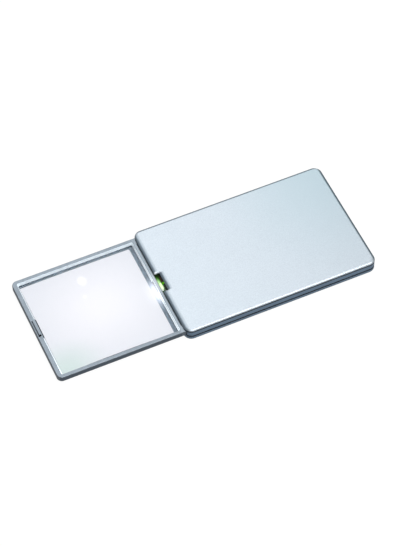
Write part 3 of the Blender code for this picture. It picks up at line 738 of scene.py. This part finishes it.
def board_screw_holes(bottom, top):
    return [disc("hole", centre_of(node), BOARD_SCREW_HOLE, bottom, top, 24) for node in BOARD_SCREWS]


def lamp_glare(made, reach):
    """Where the lamp's light floods over the edge of the lens."""
    edge = opening()[1]
    return made.spot((edge.x - 0.5 * MM, centre_of("lamp").y - 1.6 * MM, 4 * MM), reach)


def frame_finish(settings):
    """Metallic grey, with painted shade in the grip's hollows and down the near side, and painted light
    along the inner rail and in the lamp's glare.
    """
    made = plastic_finish("frame_grey", settings.paint, 0.36, *mm(0.08, 0.004), 0.85, 0.08)
    low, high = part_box("lens_frame")
    edge = opening()[1]
    # Painted shade: the grip's groove and pit darken with depth.
    grip = made.times(
        made.between("X", low.x + 0.5 * MM, low.x + 2.9 * MM), made.between("Y", *mm(-4.9, 5.1))
    )
    hollow_shade_depth = made.span(made.axis("Z"), high.z - 0.8 * MM, high.z - 0.2 * MM, 1.0, 0.0)
    made.shade(made.times(grip, made.times(hollow_shade_depth, 0.95)))
    # Painted shade: the near outer wall darker and bluer.
    near_wall_shade = made.times(made.between("Y", *mm(-30, -25.5)), made.between("Z", *mm(-1, 4.1, 0.3)))
    made.shade(made.times(near_wall_shade, 0.4), (0.05, 0.09, 0.16))
    # Painted light: the inner rail beside the case is paler.
    inner_rail_light = made.between("X", edge.x + 0.7 * MM, edge.x + 3 * MM, 0.2 * MM)
    made.shade(made.times(inner_rail_light, 0.2), (0.62, 0.70, 0.76))
    # Painted light: the lamp's glare over the inner edge of the opening, and a glow along the inner rail.
    inside = made.span(made.axis("X"), edge.x + 0.2 * MM, edge.x + 1.0 * MM, 1.0, 0.0, smooth=True)
    glare_core_light = made.times(made.times(lamp_glare(made, mm(1.8, 9.5, 6)), 0.9), inside)
    rail = made.spot((edge.x + 1.0 * MM, 0.5 * MM, high.z), mm(1.6, 8, 3))
    made.glow((0.98, 0.94, 1.0), made.plus(glare_core_light, made.times(rail, 0.20)))
    return made


def slope_finish(settings):
    """The polished slope, with painted light from the lens, brightest to the front and outwards, and a dark
    line by the rail.
    """
    made = plastic_finish("polished_slope", settings.slope, 0.2, *mm(0.3, 0.002), variation=0.04)
    outer, inner = opening()
    # A dark line painted beside the rail towards the front; it also cuts the glow.
    beside_rail = made.times(made.between("X", inner.x, inner.x + MM), made.between("Y", *mm(-30, -9, 1)))
    rail_dark_line = made.times(made.between("Z", *mm(3.95, 4.10, 0.08)), beside_rail)
    made.shade(made.times(rail_dark_line, 0.8))
    # Painted light: a glow that ripples, and grows towards the front and outwards.
    ripple = made.span(made.noise(3 * MM, 2.0), 0.3, 0.7, 0.32, 0.44)
    across = made.span(made.axis("Y"), *mm(-24, 24), 0.48, -0.22)
    outward_light = made.span(made.axis("X"), outer.x - MM, outer.x + MM, 0.27, 0.0)
    lit = made.times(made.plus(ripple, made.plus(across, outward_light)), made.math("SUBTRACT", 1.0, rail_dark_line))
    made.glow(settings.slope, made.plus(lit, lamp_glare(made, mm(2.2, 10.2, 6))))
    return made


class MAGNIFIER_OT_lens_frame(bpy.types.Operator):
    """Model the lens frame, with its sloped opening, finger grip, arms and board shelf"""
    bl_idname = "magnifier.lens_frame"
    bl_label = "Lens frame"

    def execute(self, context):
        settings = context.scene.magnifier_slider
        low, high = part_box("lens_frame")
        top = high.z - GRIP_RISE
        half = high.y - STOP_REACH
        inner_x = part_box("light_window")[1].x + 0.1 * MM
        made = box("lens_surround", (low.x, -half, low.z), (high.x, half, top))
        round_uprights(made, settings.corner, 14, lambda p: p.x < inner_x)
        gap_half = half - ARM_WIDTH
        gap_low, gap_high = Vector((inner_x, -gap_half)), Vector((high.x + MM, gap_half))
        arm_gap = box_over("arm_gap", gap_low, gap_high, low.z - MM, top + MM)
        cut(made, arm_gap, self.opening_cutter(settings, top), self.pocket_cutter())
        tidy_mesh(made)
        self.round_edges(made, settings, low, top)
        self.add_details(made, low, high, top, half, inner_x)
        finish_piece(made, frame_finish(settings), SLIDER, "frame_grey", "lens_frame")
        self.paint_light_on_slope(made, settings)
        return {"FINISHED"}

    def paint_light_on_slope(self, made, settings):
        """The slope round the lens is polished, and gets painted light for the light that the lens carries
        to its edges.
        """
        made.data.materials.append(slope_finish(settings).material)
        steepest, flattest = 0.30, 0.60
        low, high = opening()
        margin = settings.lip_width + 0.05 * MM
        for face in made.data.polygons:
            x, y, _ = face.center
            inside = low.x - margin < x < high.x + margin and abs(y) < high.y + margin
            if inside and steepest < face.normal.z < flattest:
                face.material_index = 1

    def opening_cutter(self, settings, top):
        """Straight below, and sloping out to the rails above."""
        low, high = opening()
        foot = top - settings.lip_drop
        cutter = box_over("opening", low, high, -MM, foot)
        round_uprights(cutter, OPENING_CORNER, 8)
        pick(cutter, "FACE", lambda f: near(f.calc_center_median().z, foot) and f.normal.z > 0.9)
        rise = settings.lip_drop + MM
        flare = settings.lip_width * rise / settings.lip_drop
        centre = (low + high) / 2
        extrude_up(rise)
        bpy.ops.transform.resize(
            value=(1 + 2 * flare / (high.x - low.x), 1 + 2 * flare / (high.y - low.y), 1.0),
            center_override=(centre.x, centre.y, top),
        )
        done()
        return cutter

    def pocket_cutter(self):
        low, high = opening()
        rim = Vector((LENS_RIM + 0.1 * MM, LENS_RIM + 0.1 * MM, 0.0))
        pocket = box_over("pocket", low - rim, high + rim, -MM, LENS_RIM_TOP + 0.1 * MM)
        round_uprights(pocket, OPENING_CORNER, 8)
        return pocket

    def round_edges(self, made, settings, low, top):
        inside_low, inside_high = opening()
        reach = settings.lip_width + 0.2 * MM

        def in_opening(p):
            return inside_low.x - reach < p.x < inside_high.x + reach and abs(p.y) < inside_high.y + reach

        inner_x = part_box("light_window")[1].x
        bevel(made, settings.edge, 4, lies_at(top, lambda p: p.x < inner_x and not in_opening(p)))
        bevel(made, 0.12 * MM, 2, lies_at(top, lambda p: p.x > inner_x and not in_opening(p)))
        bevel(made, 0.1 * MM, 2, lies_at(top, in_opening))
        bevel(made, 0.2 * MM, 3, lies_at(low.z, lambda p: not in_opening(p)))

    def add_details(self, made, low, high, top, half, inner_x):
        grip_low = Vector((low.x + 1.0 * MM, -4.9 * MM, GRIP_BOTTOM))
        grip_high = Vector((low.x + 2.65 * MM, 5.0 * MM, high.z))
        shelf_top = low.z + SHELF_THICKNESS
        shelf_low = Vector((inner_x - 0.3 * MM, MM - half))
        shelf_high = Vector((inner_x + 6.35 * MM, half - MM))
        shelf = box_over("shelf", shelf_low, shelf_high, low.z + 0.002 * MM, shelf_top)
        stops = []
        for side in (-1, 1):
            y0, y1 = sorted((side * (half - 0.5 * MM), side * high.y))
            stop = box("stop", (high.x - STOP_LENGTH, y0, STOP_BOTTOM), (high.x - 0.01 * MM, y1, STOP_TOP))
            bevel(stop, 0.1 * MM, 2, is_upright)
            stops.append(stop)
        join(made, self.finger_grip(grip_low, grip_high), shelf, *stops)
        start = Vector((low.x + GROOVE_INSET, grip_low.y + 1.0 * MM))
        end = Vector((start.x + GROOVE_WIDTH, grip_high.y - 0.5 * MM))
        groove = box_over("groove", start, end, top - GROOVE_DEPTH, top + MM)
        pit_low, pit_high = start + Vector(mm(0.1, -0.1)), start + Vector(mm(1.25, 0.9))
        pit = box_over("pit", pit_low, pit_high, top - PIT_DEPTH, top + MM)
        window_low, window_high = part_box("light_window")
        margin = Vector(mm(1.0, 0.1, 0.1))
        window = box("window", window_low - margin, window_high + margin)
        holes = board_screw_holes(low.z - MM, shelf_top + 0.1 * MM)
        for node in ("negative_wiper", "positive_wiper"):
            gap_low, gap_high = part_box(node)
            margin = Vector(mm(0.4, 0.3, 0.0))
            foot, reach = low.z - MM, shelf_top + 0.1 * MM
            holes.append(box_over("gap", gap_low - margin, gap_high + margin, foot, reach))
        cut(made, groove, pit, window, *holes)

    def finger_grip(self, low, high):
        """A low bar, with its inner edge pressed down into a chamfer."""
        grip = box("grip", low, high)
        round_uprights(grip, 0.5 * MM, 6)
        bevel(grip, 0.1 * MM, 3, lies_at(high.z))
        chamfer_x, chamfer_z = high.x - 0.9 * GRIP_CHAMFER, high.z - 0.15 * MM
        pick(grip, "FACE")
        bpy.ops.mesh.bisect(plane_co=(high.x - GRIP_CHAMFER, 0.0, 0.0), plane_no=(1.0, 0.0, 0.0))
        pick(grip, "VERT", lambda v: v.co.z > chamfer_z and v.co.x > chamfer_x)
        bpy.ops.transform.translate(value=(0.0, 0.0, -GRIP_CHAMFER_DROP))
        done()
        return grip


def lens_finish(settings):
    """Clear acrylic: faint turned rings, moulding ripples, painted reflections, painted light from the lamp
    and a painted tint.
    """
    made = Finish("clear_acrylic", 0.03, IOR=1.49, Transmission_Weight=1.0)
    low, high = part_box("lens")
    centre = centre_of("lens")
    top = high.z + 0.2 * MM
    from_middle = made.mapped((centre.x, centre.y, 0.0), (1.0, 1.0, 1000.0))
    radius = made.node("VectorMath", {0: from_middle}, operation="LENGTH").outputs["Value"]
    ring = made.math("FRACT", made.times(radius, 1 / (0.45 * MM)))
    ripple = made.bump(made.noise(7 * MM, 1.0), 0.01 * MM, 0.3)
    made.bump(ring, 0.004 * MM, 0.15, ripple)

    # Painted light: the lamp's glare, a soft glow over the lens, and two painted reflections.
    painted_light_total = made.times(lamp_glare(made, mm(2.5, 7.0, 20)), 0.22)
    painted_glows = (
        (lamp_glare(made, mm(6.5, 9.5, 20)), 0.07),
        (made.spot((centre.x + 3 * MM, 2 * MM, top), mm(34, 30, 40)), 0.035),
        (made.spot((*REFLECTION, top), mm(2.7, 3.5, 1.5)), 0.3),
        (made.spot((*FAINT_REFLECTION, top), mm(1.6, 1.6, 1.5)), 0.08),
    )
    for spot, strength in painted_glows:
        painted_light_total = made.plus(painted_light_total, made.times(spot, strength))
    made.glow((1.0, 0.98, 1.0), painted_light_total)

    # Painted shade: the lens darker and bluer towards its edges, and greener towards the near left corner.
    sides = made.spot((centre.x, 0.0, 3 * MM), mm(34, 32, 40))
    clear = made.blend(sides, (0.81, 0.83, 0.89), settings.clear)
    corner = made.spot((low.x + 2 * MM, low.y + 2 * MM, 3 * MM), mm(22, 17, 40))
    made.colour(corner, clear, (0.66, 0.775, 0.76))
    made.feed("Roughness", made.span(made.noise(4 * MM, 4.0), 0.35, 0.75, 0.02, 0.05))
    return made


class MAGNIFIER_OT_lens(bpy.types.Operator):
    """Model the crowned acrylic lens on its flat rim, and finish the ring that holds it"""
    bl_idname = "magnifier.lens"
    bl_label = "Lens"

    def execute(self, context):
        settings = context.scene.magnifier_slider
        low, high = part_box("lens")
        inner_low, inner_high = opening()
        gap = Vector(mm(0.1, 0.1, 0.0))
        blank = self.crowned_block(centre_of("lens"), high.z)
        edge = box_over("edge", inner_low + gap, inner_high - gap, low.z, high.z + MM)
        round_uprights(edge, OPENING_CORNER - 0.1 * MM, 8)
        boolean(blank, "INTERSECT", edge)
        rim = box("rim", low, (high.x, high.y, LENS_RIM_TOP))
        round_uprights(rim, OPENING_CORNER, 8)
        join(blank, rim)
        finish_piece(blank, lens_finish(settings), SLIDER, "clear_acrylic", "lens", angle=30)
        ring = plastic_finish("dark_grey", settings.ledge, 0.5, *mm(0.1, 0.01))
        # Painted light: the lamp's glare on the ring under the lens.
        ring.glow((0.88, 0.92, 1.0), ring.times(lamp_glare(ring, mm(3.2, 10.5, 6)), 0.8))
        paint_nodes(ring, "lens_retainer")
        return {"FINISHED"}

    def crowned_block(self, centre, top):
        """A grid lifted at its middle into a shallow dome, then pulled down into a closed block."""
        lift, reach = 4.0 * MM, 50.0 * MM
        deselect()
        bpy.ops.mesh.primitive_grid_add(
            x_subdivisions=48, y_subdivisions=48, size=60 * MM, location=(centre.x, centre.y, top - lift)
        )
        block = named("clear_lens")
        pick(block, "VERT", lambda v: near(v.co.x, centre.x) and near(v.co.y, centre.y))
        bpy.ops.transform.translate(
            value=(0.0, 0.0, lift),
            use_proportional_edit=True,
            proportional_edit_falloff="SPHERE",
            proportional_size=reach,
        )
        bpy.ops.mesh.select_all(action="SELECT")
        extrude_up(-5 * MM)
        bpy.ops.mesh.select_all(action="SELECT")
        bpy.ops.mesh.normals_make_consistent(inside=False)
        done()
        return block


# -------- light


class MAGNIFIER_OT_light_window(bpy.types.Operator):
    """Model the clear bar that carries the lamp's light through the rail"""
    bl_idname = "magnifier.light_window"
    bl_label = "Light window"

    def execute(self, context):
        light = context.scene.magnifier_light
        low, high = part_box("light_window")
        bar = box("light_bar", low, high)
        bevel(bar, 0.06 * MM, 2)
        made = Finish("light_bar", 0.08, IOR=1.49, Transmission_Weight=0.6)
        frost = made.noise(0.3 * MM)
        made.bump(frost, 0.01 * MM)
        made.rough(frost, 0.05, 0.2)
        # Painted light: the bar glows round the lamp.
        glow = made.spot(centre_of("lamp"), mm(3, 3.5, 3))
        made.glow(light.lamp, made.times(glow, light.strength))
        finish_piece(bar, made, SLIDER, "clear_acrylic", "light_window")
        return {"FINISHED"}


def slant_upper_edge(obj, letter, place, top, width, segments):
    """Rounds off the upper edge that lies at this place on X or Y."""
    def on_edge(edge):
        return all(near(getattr(v.co, letter), place) and near(v.co.z, top) for v in edge.verts)

    bevel(obj, width, segments, on_edge)


def board_finish(light):
    """Green solder lacquer over copper tracks, lit where the lamp stands on it."""
    made = Finish("board_green", 0.3)
    lamp = centre_of("lamp")
    tracks = made.node(
        "TexBrick",
        {
            "Vector": made.mapped(scale=(1.3 * MM, 1.3 * MM, 1.0)),
            "Scale": 1.0, "Mortar Size": 0.05,
            "Color1": (0.0, 0.0, 0.0), "Color2": (0.35, 0.35, 0.35), "Mortar": (1.0, 1.0, 1.0),
        },
        offset=0.35,
    ).outputs["Color"]
    lines = made.node("SeparateColor", {"Color": tracks}).outputs["Red"]
    weave = made.noise(0.25 * MM, 2.0)
    green = light.board
    lighter = tuple(min(1.0, c * 1.7 + 0.02) for c in green)
    made.colour(made.times(lines, 0.8), green, lighter)
    made.rough(weave, 0.22, 0.4)
    made.bump(lines, 0.015 * MM)
    # Painted light: the lamp's light on the board, paler close beside it.
    near_lamp = made.spot((lamp.x, lamp.y + 1.6 * MM, lamp.z), mm(1.8, 4.8, 3))
    pale = made.spot((lamp.x - 0.1 * MM, lamp.y + 2.9 * MM, lamp.z), mm(1.3, 2.9, 3))
    glow = made.blend(pale, light.board_glow, (0.55, 0.85, 0.45))
    made.glow(glow, made.times(near_lamp, 1.4))
    return made


class MAGNIFIER_OT_board(bpy.types.Operator):
    """Model the circuit board of the light, with its solder joints and screws"""
    bl_idname = "magnifier.board"
    bl_label = "Circuit board"

    def execute(self, context):
        low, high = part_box("circuit_board")
        board = box("light_board", low, high)
        round_uprights(board, 0.6 * MM, 6)
        cut(board, *board_screw_holes(low.z - MM, high.z + MM))
        finish = board_finish(context.scene.magnifier_light)
        finish_piece(board, finish, SLIDER, "board_green", "circuit_board")
        self.solder_joints()
        steel = metal_finish("board_screw_steel", (0.62, 0.62, 0.63), 0.25)
        for node in BOARD_SCREWS:
            made = screw(node, BOARD_SCREW_HEAD, BOARD_SCREW_SHAFT)
            finish_piece(made, steel, SLIDER, "steel", node)
        return {"FINISHED"}

    def solder_joints(self):
        """A bright wedge of solder at each end of the parts on the board."""
        tin = metal_finish("solder", (0.75, 0.76, 0.76), 0.2, size=0.3 * MM)
        board_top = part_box("circuit_board")[1].z
        top = board_top + 0.35 * MM
        for node in ("lamp", "resistor"):
            low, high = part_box(node)
            for number, (y, side) in enumerate(((low.y, -1), (high.y, 1))):
                far_y = y + side * 0.5 * MM
                y0, y1 = sorted((y + side * 0.04 * MM, far_y))
                joint = box(
                    f"{node}_solder_{number}",
                    (low.x + 0.1 * MM, y0, board_top + 0.01 * MM),
                    (high.x - 0.1 * MM, y1, top),
                )
                slant_upper_edge(joint, "y", far_y, top, 0.28 * MM, 3)
                finish_piece(joint, tin, SLIDER, "steel")


class MAGNIFIER_OT_components(bpy.types.Operator):
    """Model the lamp and the driver parts that show through the thumb notch"""
    bl_idname = "magnifier.components"
    bl_label = "Lamp and driver parts"

    def execute(self, context):
        light = context.scene.magnifier_light
        self.lamp(light)
        self.chip()
        self.inductor(light)
        self.resistor()
        return {"FINISHED"}

    def lamp(self, light):
        low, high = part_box("lamp")
        lamp = box("white_lamp", low, high)
        bevel(lamp, 0.08 * MM, 3)
        dish(lamp, *mm(0.12, 0.06))
        made = Finish("lamp_white", 0.3)
        grains = made.noise(0.15 * MM)
        made.colour(grains, (0.70, 0.80, 0.52), (0.80, 0.88, 0.62))
        made.rough(grains, 0.2, 0.4)
        hot = made.spot((low.x + 0.2 * MM, low.y, high.z), mm(0.9, 2.3, 2))
        made.glow(made.blend(hot, (0.50, 0.88, 0.34), light.lamp), light.strength)
        finish_piece(lamp, made, SLIDER, "lamp_white", "lamp")

    def chip(self):
        low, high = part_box("driver_chip")
        foot, leg_top, leg_half = 0.22 * MM, low.z + 0.3 * MM, 0.12 * MM
        body = box(
            "driver_chip_body", (low.x + foot, low.y, low.z + 0.08 * MM), (high.x - foot, high.y, high.z)
        )
        bevel(body, 0.1 * MM, 2)
        dot_place = (low.x + 0.6 * MM, low.y + 0.5 * MM)
        cut(body, disc("dot", dot_place, 0.2 * MM, high.z - 0.06 * MM, high.z + MM, 20))
        epoxy = plastic_finish("component_black", (0.018, 0.018, 0.017), 0.45, 0.06 * MM, variation=0.3)
        finish_piece(body, epoxy, SLIDER, "component_black", "driver_chip")
        tin = metal_finish("chip_legs", (0.72, 0.72, 0.70), 0.25)
        pitch = (high.y - low.y) / 4
        sides = ((low.x, low.x + foot, low.x), (high.x - foot, high.x, high.x))
        for number in range(4):
            y = low.y + pitch * (number + 0.5)
            for side, (x0, x1, outer_x) in enumerate(sides):
                name = f"chip_leg_{side}_{number}"
                leg = box(name, (x0, y - leg_half, low.z + 0.01 * MM), (x1, y + leg_half, leg_top))
                slant_upper_edge(leg, "x", outer_x, leg_top, 0.12 * MM, 2)
                finish_piece(leg, tin, SLIDER, "steel")

    def inductor(self, light):
        low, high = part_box("inductor")
        body = box("coil_block", low, high)
        round_uprights(body, 0.35 * MM, 5)
        bevel(body, 0.1 * MM, 2, lies_at(high.z))
        dish(body, *mm(0.3, 0.1), flatness=0.99)
        ferrite = plastic_finish("ferrite", (0.034, 0.014, 0.006), 0.6, *mm(0.12, 0.01), variation=0.45)
        # Painted light: the lamp's green light on the coil's near corner.
        coil_catch_light = ferrite.spot((low.x + 0.5 * MM, low.y, high.z - 0.5 * MM), mm(1.1, 0.7, 0.9))
        ferrite.glow(light.board_glow, coil_catch_light)
        finish_piece(body, ferrite, SLIDER, "ferrite", "inductor")

    def resistor(self):
        low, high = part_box("resistor")
        body = box("chip_resistor", low, high)
        bevel(body, 0.07 * MM, 2)
        made = Finish("resistor", 0.35)
        away = made.math("ABSOLUTE", made.math("SUBTRACT", made.axis("Y"), centre_of("resistor").y))
        cap = made.span(away, (high.y - low.y) * 0.34, (high.y - low.y) * 0.35)
        grain = made.noise(0.1 * MM)
        dark = made.blend(grain, (0.012, 0.012, 0.014), (0.03, 0.03, 0.035))
        made.colour(cap, dark, (0.72, 0.72, 0.71))
        made.feed("Metallic", cap)
        made.bump(grain, 0.004 * MM)
        finish_piece(body, made, SLIDER, "component_black", "resistor")


# -------- stage


FLOOR_SIZE = 6.0
AIM = Vector(mm(-22.53, 0.41, 0.0))


class MAGNIFIER_OT_stage(bpy.types.Operator):
    """Set the pale floor, the soft lights and the camera"""
    bl_idname = "magnifier.stage"
    bl_label = "Stage"

    def execute(self, context):
        settings = context.scene.magnifier_stage
        context.scene.view_settings.view_transform = "Standard"
        self.floor(settings)
        self.world(context.scene)
        self.lights(settings)
        self.camera(context.scene, settings)
        return {"FINISHED"}

    def floor(self, settings):
        deselect()
        bpy.ops.mesh.primitive_plane_add(size=FLOOR_SIZE, location=(0.0, 0.0, -0.02 * MM))
        floor = named("floor")
        made = Finish("pale_floor", 0.7, Base_Color=(0.12, 0.12, 0.12, 1.0), Specular_IOR_Level=0.0)
        path = made.node("LightPath")
        seen = made.most(path.outputs["Is Camera Ray"], path.outputs["Is Transmission Ray"])
        made.glow(settings.floor, made.span(seen, 0.0, 1.0, settings.floor_bounce, 1.0))
        set_material(floor, made)

    def world(self, scene):
        """Pale to the eye. In reflections, bright overhead and behind, and dim at the horizon."""
        world = bpy.data.worlds.new("studio")
        scene.world = world
        world.use_nodes = True
        made = Nodes(world.node_tree)
        background = world.node_tree.nodes["Background"]
        direction = made.node("TexCoord").outputs["Generated"]
        split = made.node("SeparateXYZ", {"Vector": direction}).outputs
        ramp = made.span(split["Z"], 0.35, 0.95, 0.04, 0.40)
        behind = made.span(split["Y"], 0.6, 0.95, 0.0, 0.8)
        overhead = made.span(split["Z"], 0.86, 0.97, 0.0, 1.1)
        reflected = made.most(ramp, made.most(behind, overhead))
        seen = made.node("LightPath").outputs["Is Camera Ray"]
        mix = made.node("Mix", {"Factor": seen, "A": reflected, "B": 0.97})
        made.set(background.inputs["Strength"], mix.outputs["Result"])
        made.set(background.inputs["Color"], (0.96, 0.98, 1.0))

    def lights(self, settings):
        soft_light("key", (0.0, 0.60, 1.0), (0.80, 1.0), 3.0 * settings.key, (0.97, 0.99, 1.0))
        soft_light("strip", (0.15, -0.76, 0.98), (1.5, 0.60), 10.1 * settings.key, (0.96, 0.98, 1.0))

    def camera(self, scene, settings):
        data = bpy.data.cameras.new("camera")
        data.lens = settings.lens
        data.sensor_width = 36.0
        data.clip_end = 20.0
        camera = bpy.data.objects.new("camera", data)
        scene.collection.objects.link(camera)
        turn, rise = settings.azimuth, settings.elevation
        back = Vector((sin(turn) * cos(rise), -cos(turn) * cos(rise), sin(rise)))
        right = Vector((cos(turn), sin(turn), 0.0))
        up = back.cross(right)
        tilt = settings.roll
        tilted_right = right * cos(tilt) + up * sin(tilt)
        tilted_up = up * cos(tilt) - right * sin(tilt)
        axes = Matrix((tilted_right, tilted_up, back)).transposed().to_4x4()
        camera.matrix_world = Matrix.Translation(AIM + back * settings.distance) @ axes
        scene.camera = camera


def soft_light(name, place, size, power, tint):
    data = bpy.data.lights.new(name, "AREA")
    data.shape = "RECTANGLE"
    data.size, data.size_y = size
    data.energy = power
    data.color = tint
    light = bpy.data.objects.new(name, data)
    bpy.context.scene.collection.objects.link(light)
    light.location = place
    light.rotation_mode = "QUATERNION"
    light.rotation_quaternion = (AIM - Vector(place)).to_track_quat("-Z", "Y")


# -------- add-on


BUILD_ORDER = (
    MAGNIFIER_OT_top_cover,
    MAGNIFIER_OT_shells,
    MAGNIFIER_OT_case_screws,
    MAGNIFIER_OT_battery_cap,
    MAGNIFIER_OT_power,
    MAGNIFIER_OT_lens_frame,
    MAGNIFIER_OT_lens,
    MAGNIFIER_OT_light_window,
    MAGNIFIER_OT_board,
    MAGNIFIER_OT_components,
    MAGNIFIER_OT_stage,
)
SETTINGS = {
    "magnifier_case": MagnifierCase,
    "magnifier_slider": MagnifierSlider,
    "magnifier_light": MagnifierLight,
    "magnifier_stage": MagnifierStage,
}


class MAGNIFIER_PT_build(bpy.types.Panel):
    """The pieces of the magnifier, in the order that they are made"""
    bl_idname = "MAGNIFIER_PT_build"
    bl_label = "Pocket magnifier"
    bl_space_type = "VIEW_3D"
    bl_region_type = "UI"
    bl_category = "Magnifier"

    def draw(self, context):
        for name, group in SETTINGS.items():
            values = getattr(context.scene, name)
            column = self.layout.column(align=True)
            for prop in group.__annotations__:
                column.prop(values, prop)
        for operator in BUILD_ORDER:
            self.layout.operator(operator.bl_idname)


def register():
    for cls in (*SETTINGS.values(), *BUILD_ORDER, MAGNIFIER_PT_build):
        bpy.utils.register_class(cls)
    for name, group in SETTINGS.items():
        setattr(bpy.types.Scene, name, PointerProperty(type=group))


def unregister():
    for name in SETTINGS:
        delattr(bpy.types.Scene, name)
    for cls in reversed((*SETTINGS.values(), *BUILD_ORDER, MAGNIFIER_PT_build)):
        bpy.utils.unregister_class(cls)


def main():
    register()
    for operator in BUILD_ORDER:
        family, action = operator.bl_idname.split(".")
        getattr(getattr(bpy.ops, family), action)()


if __name__ == "__main__":
    main()
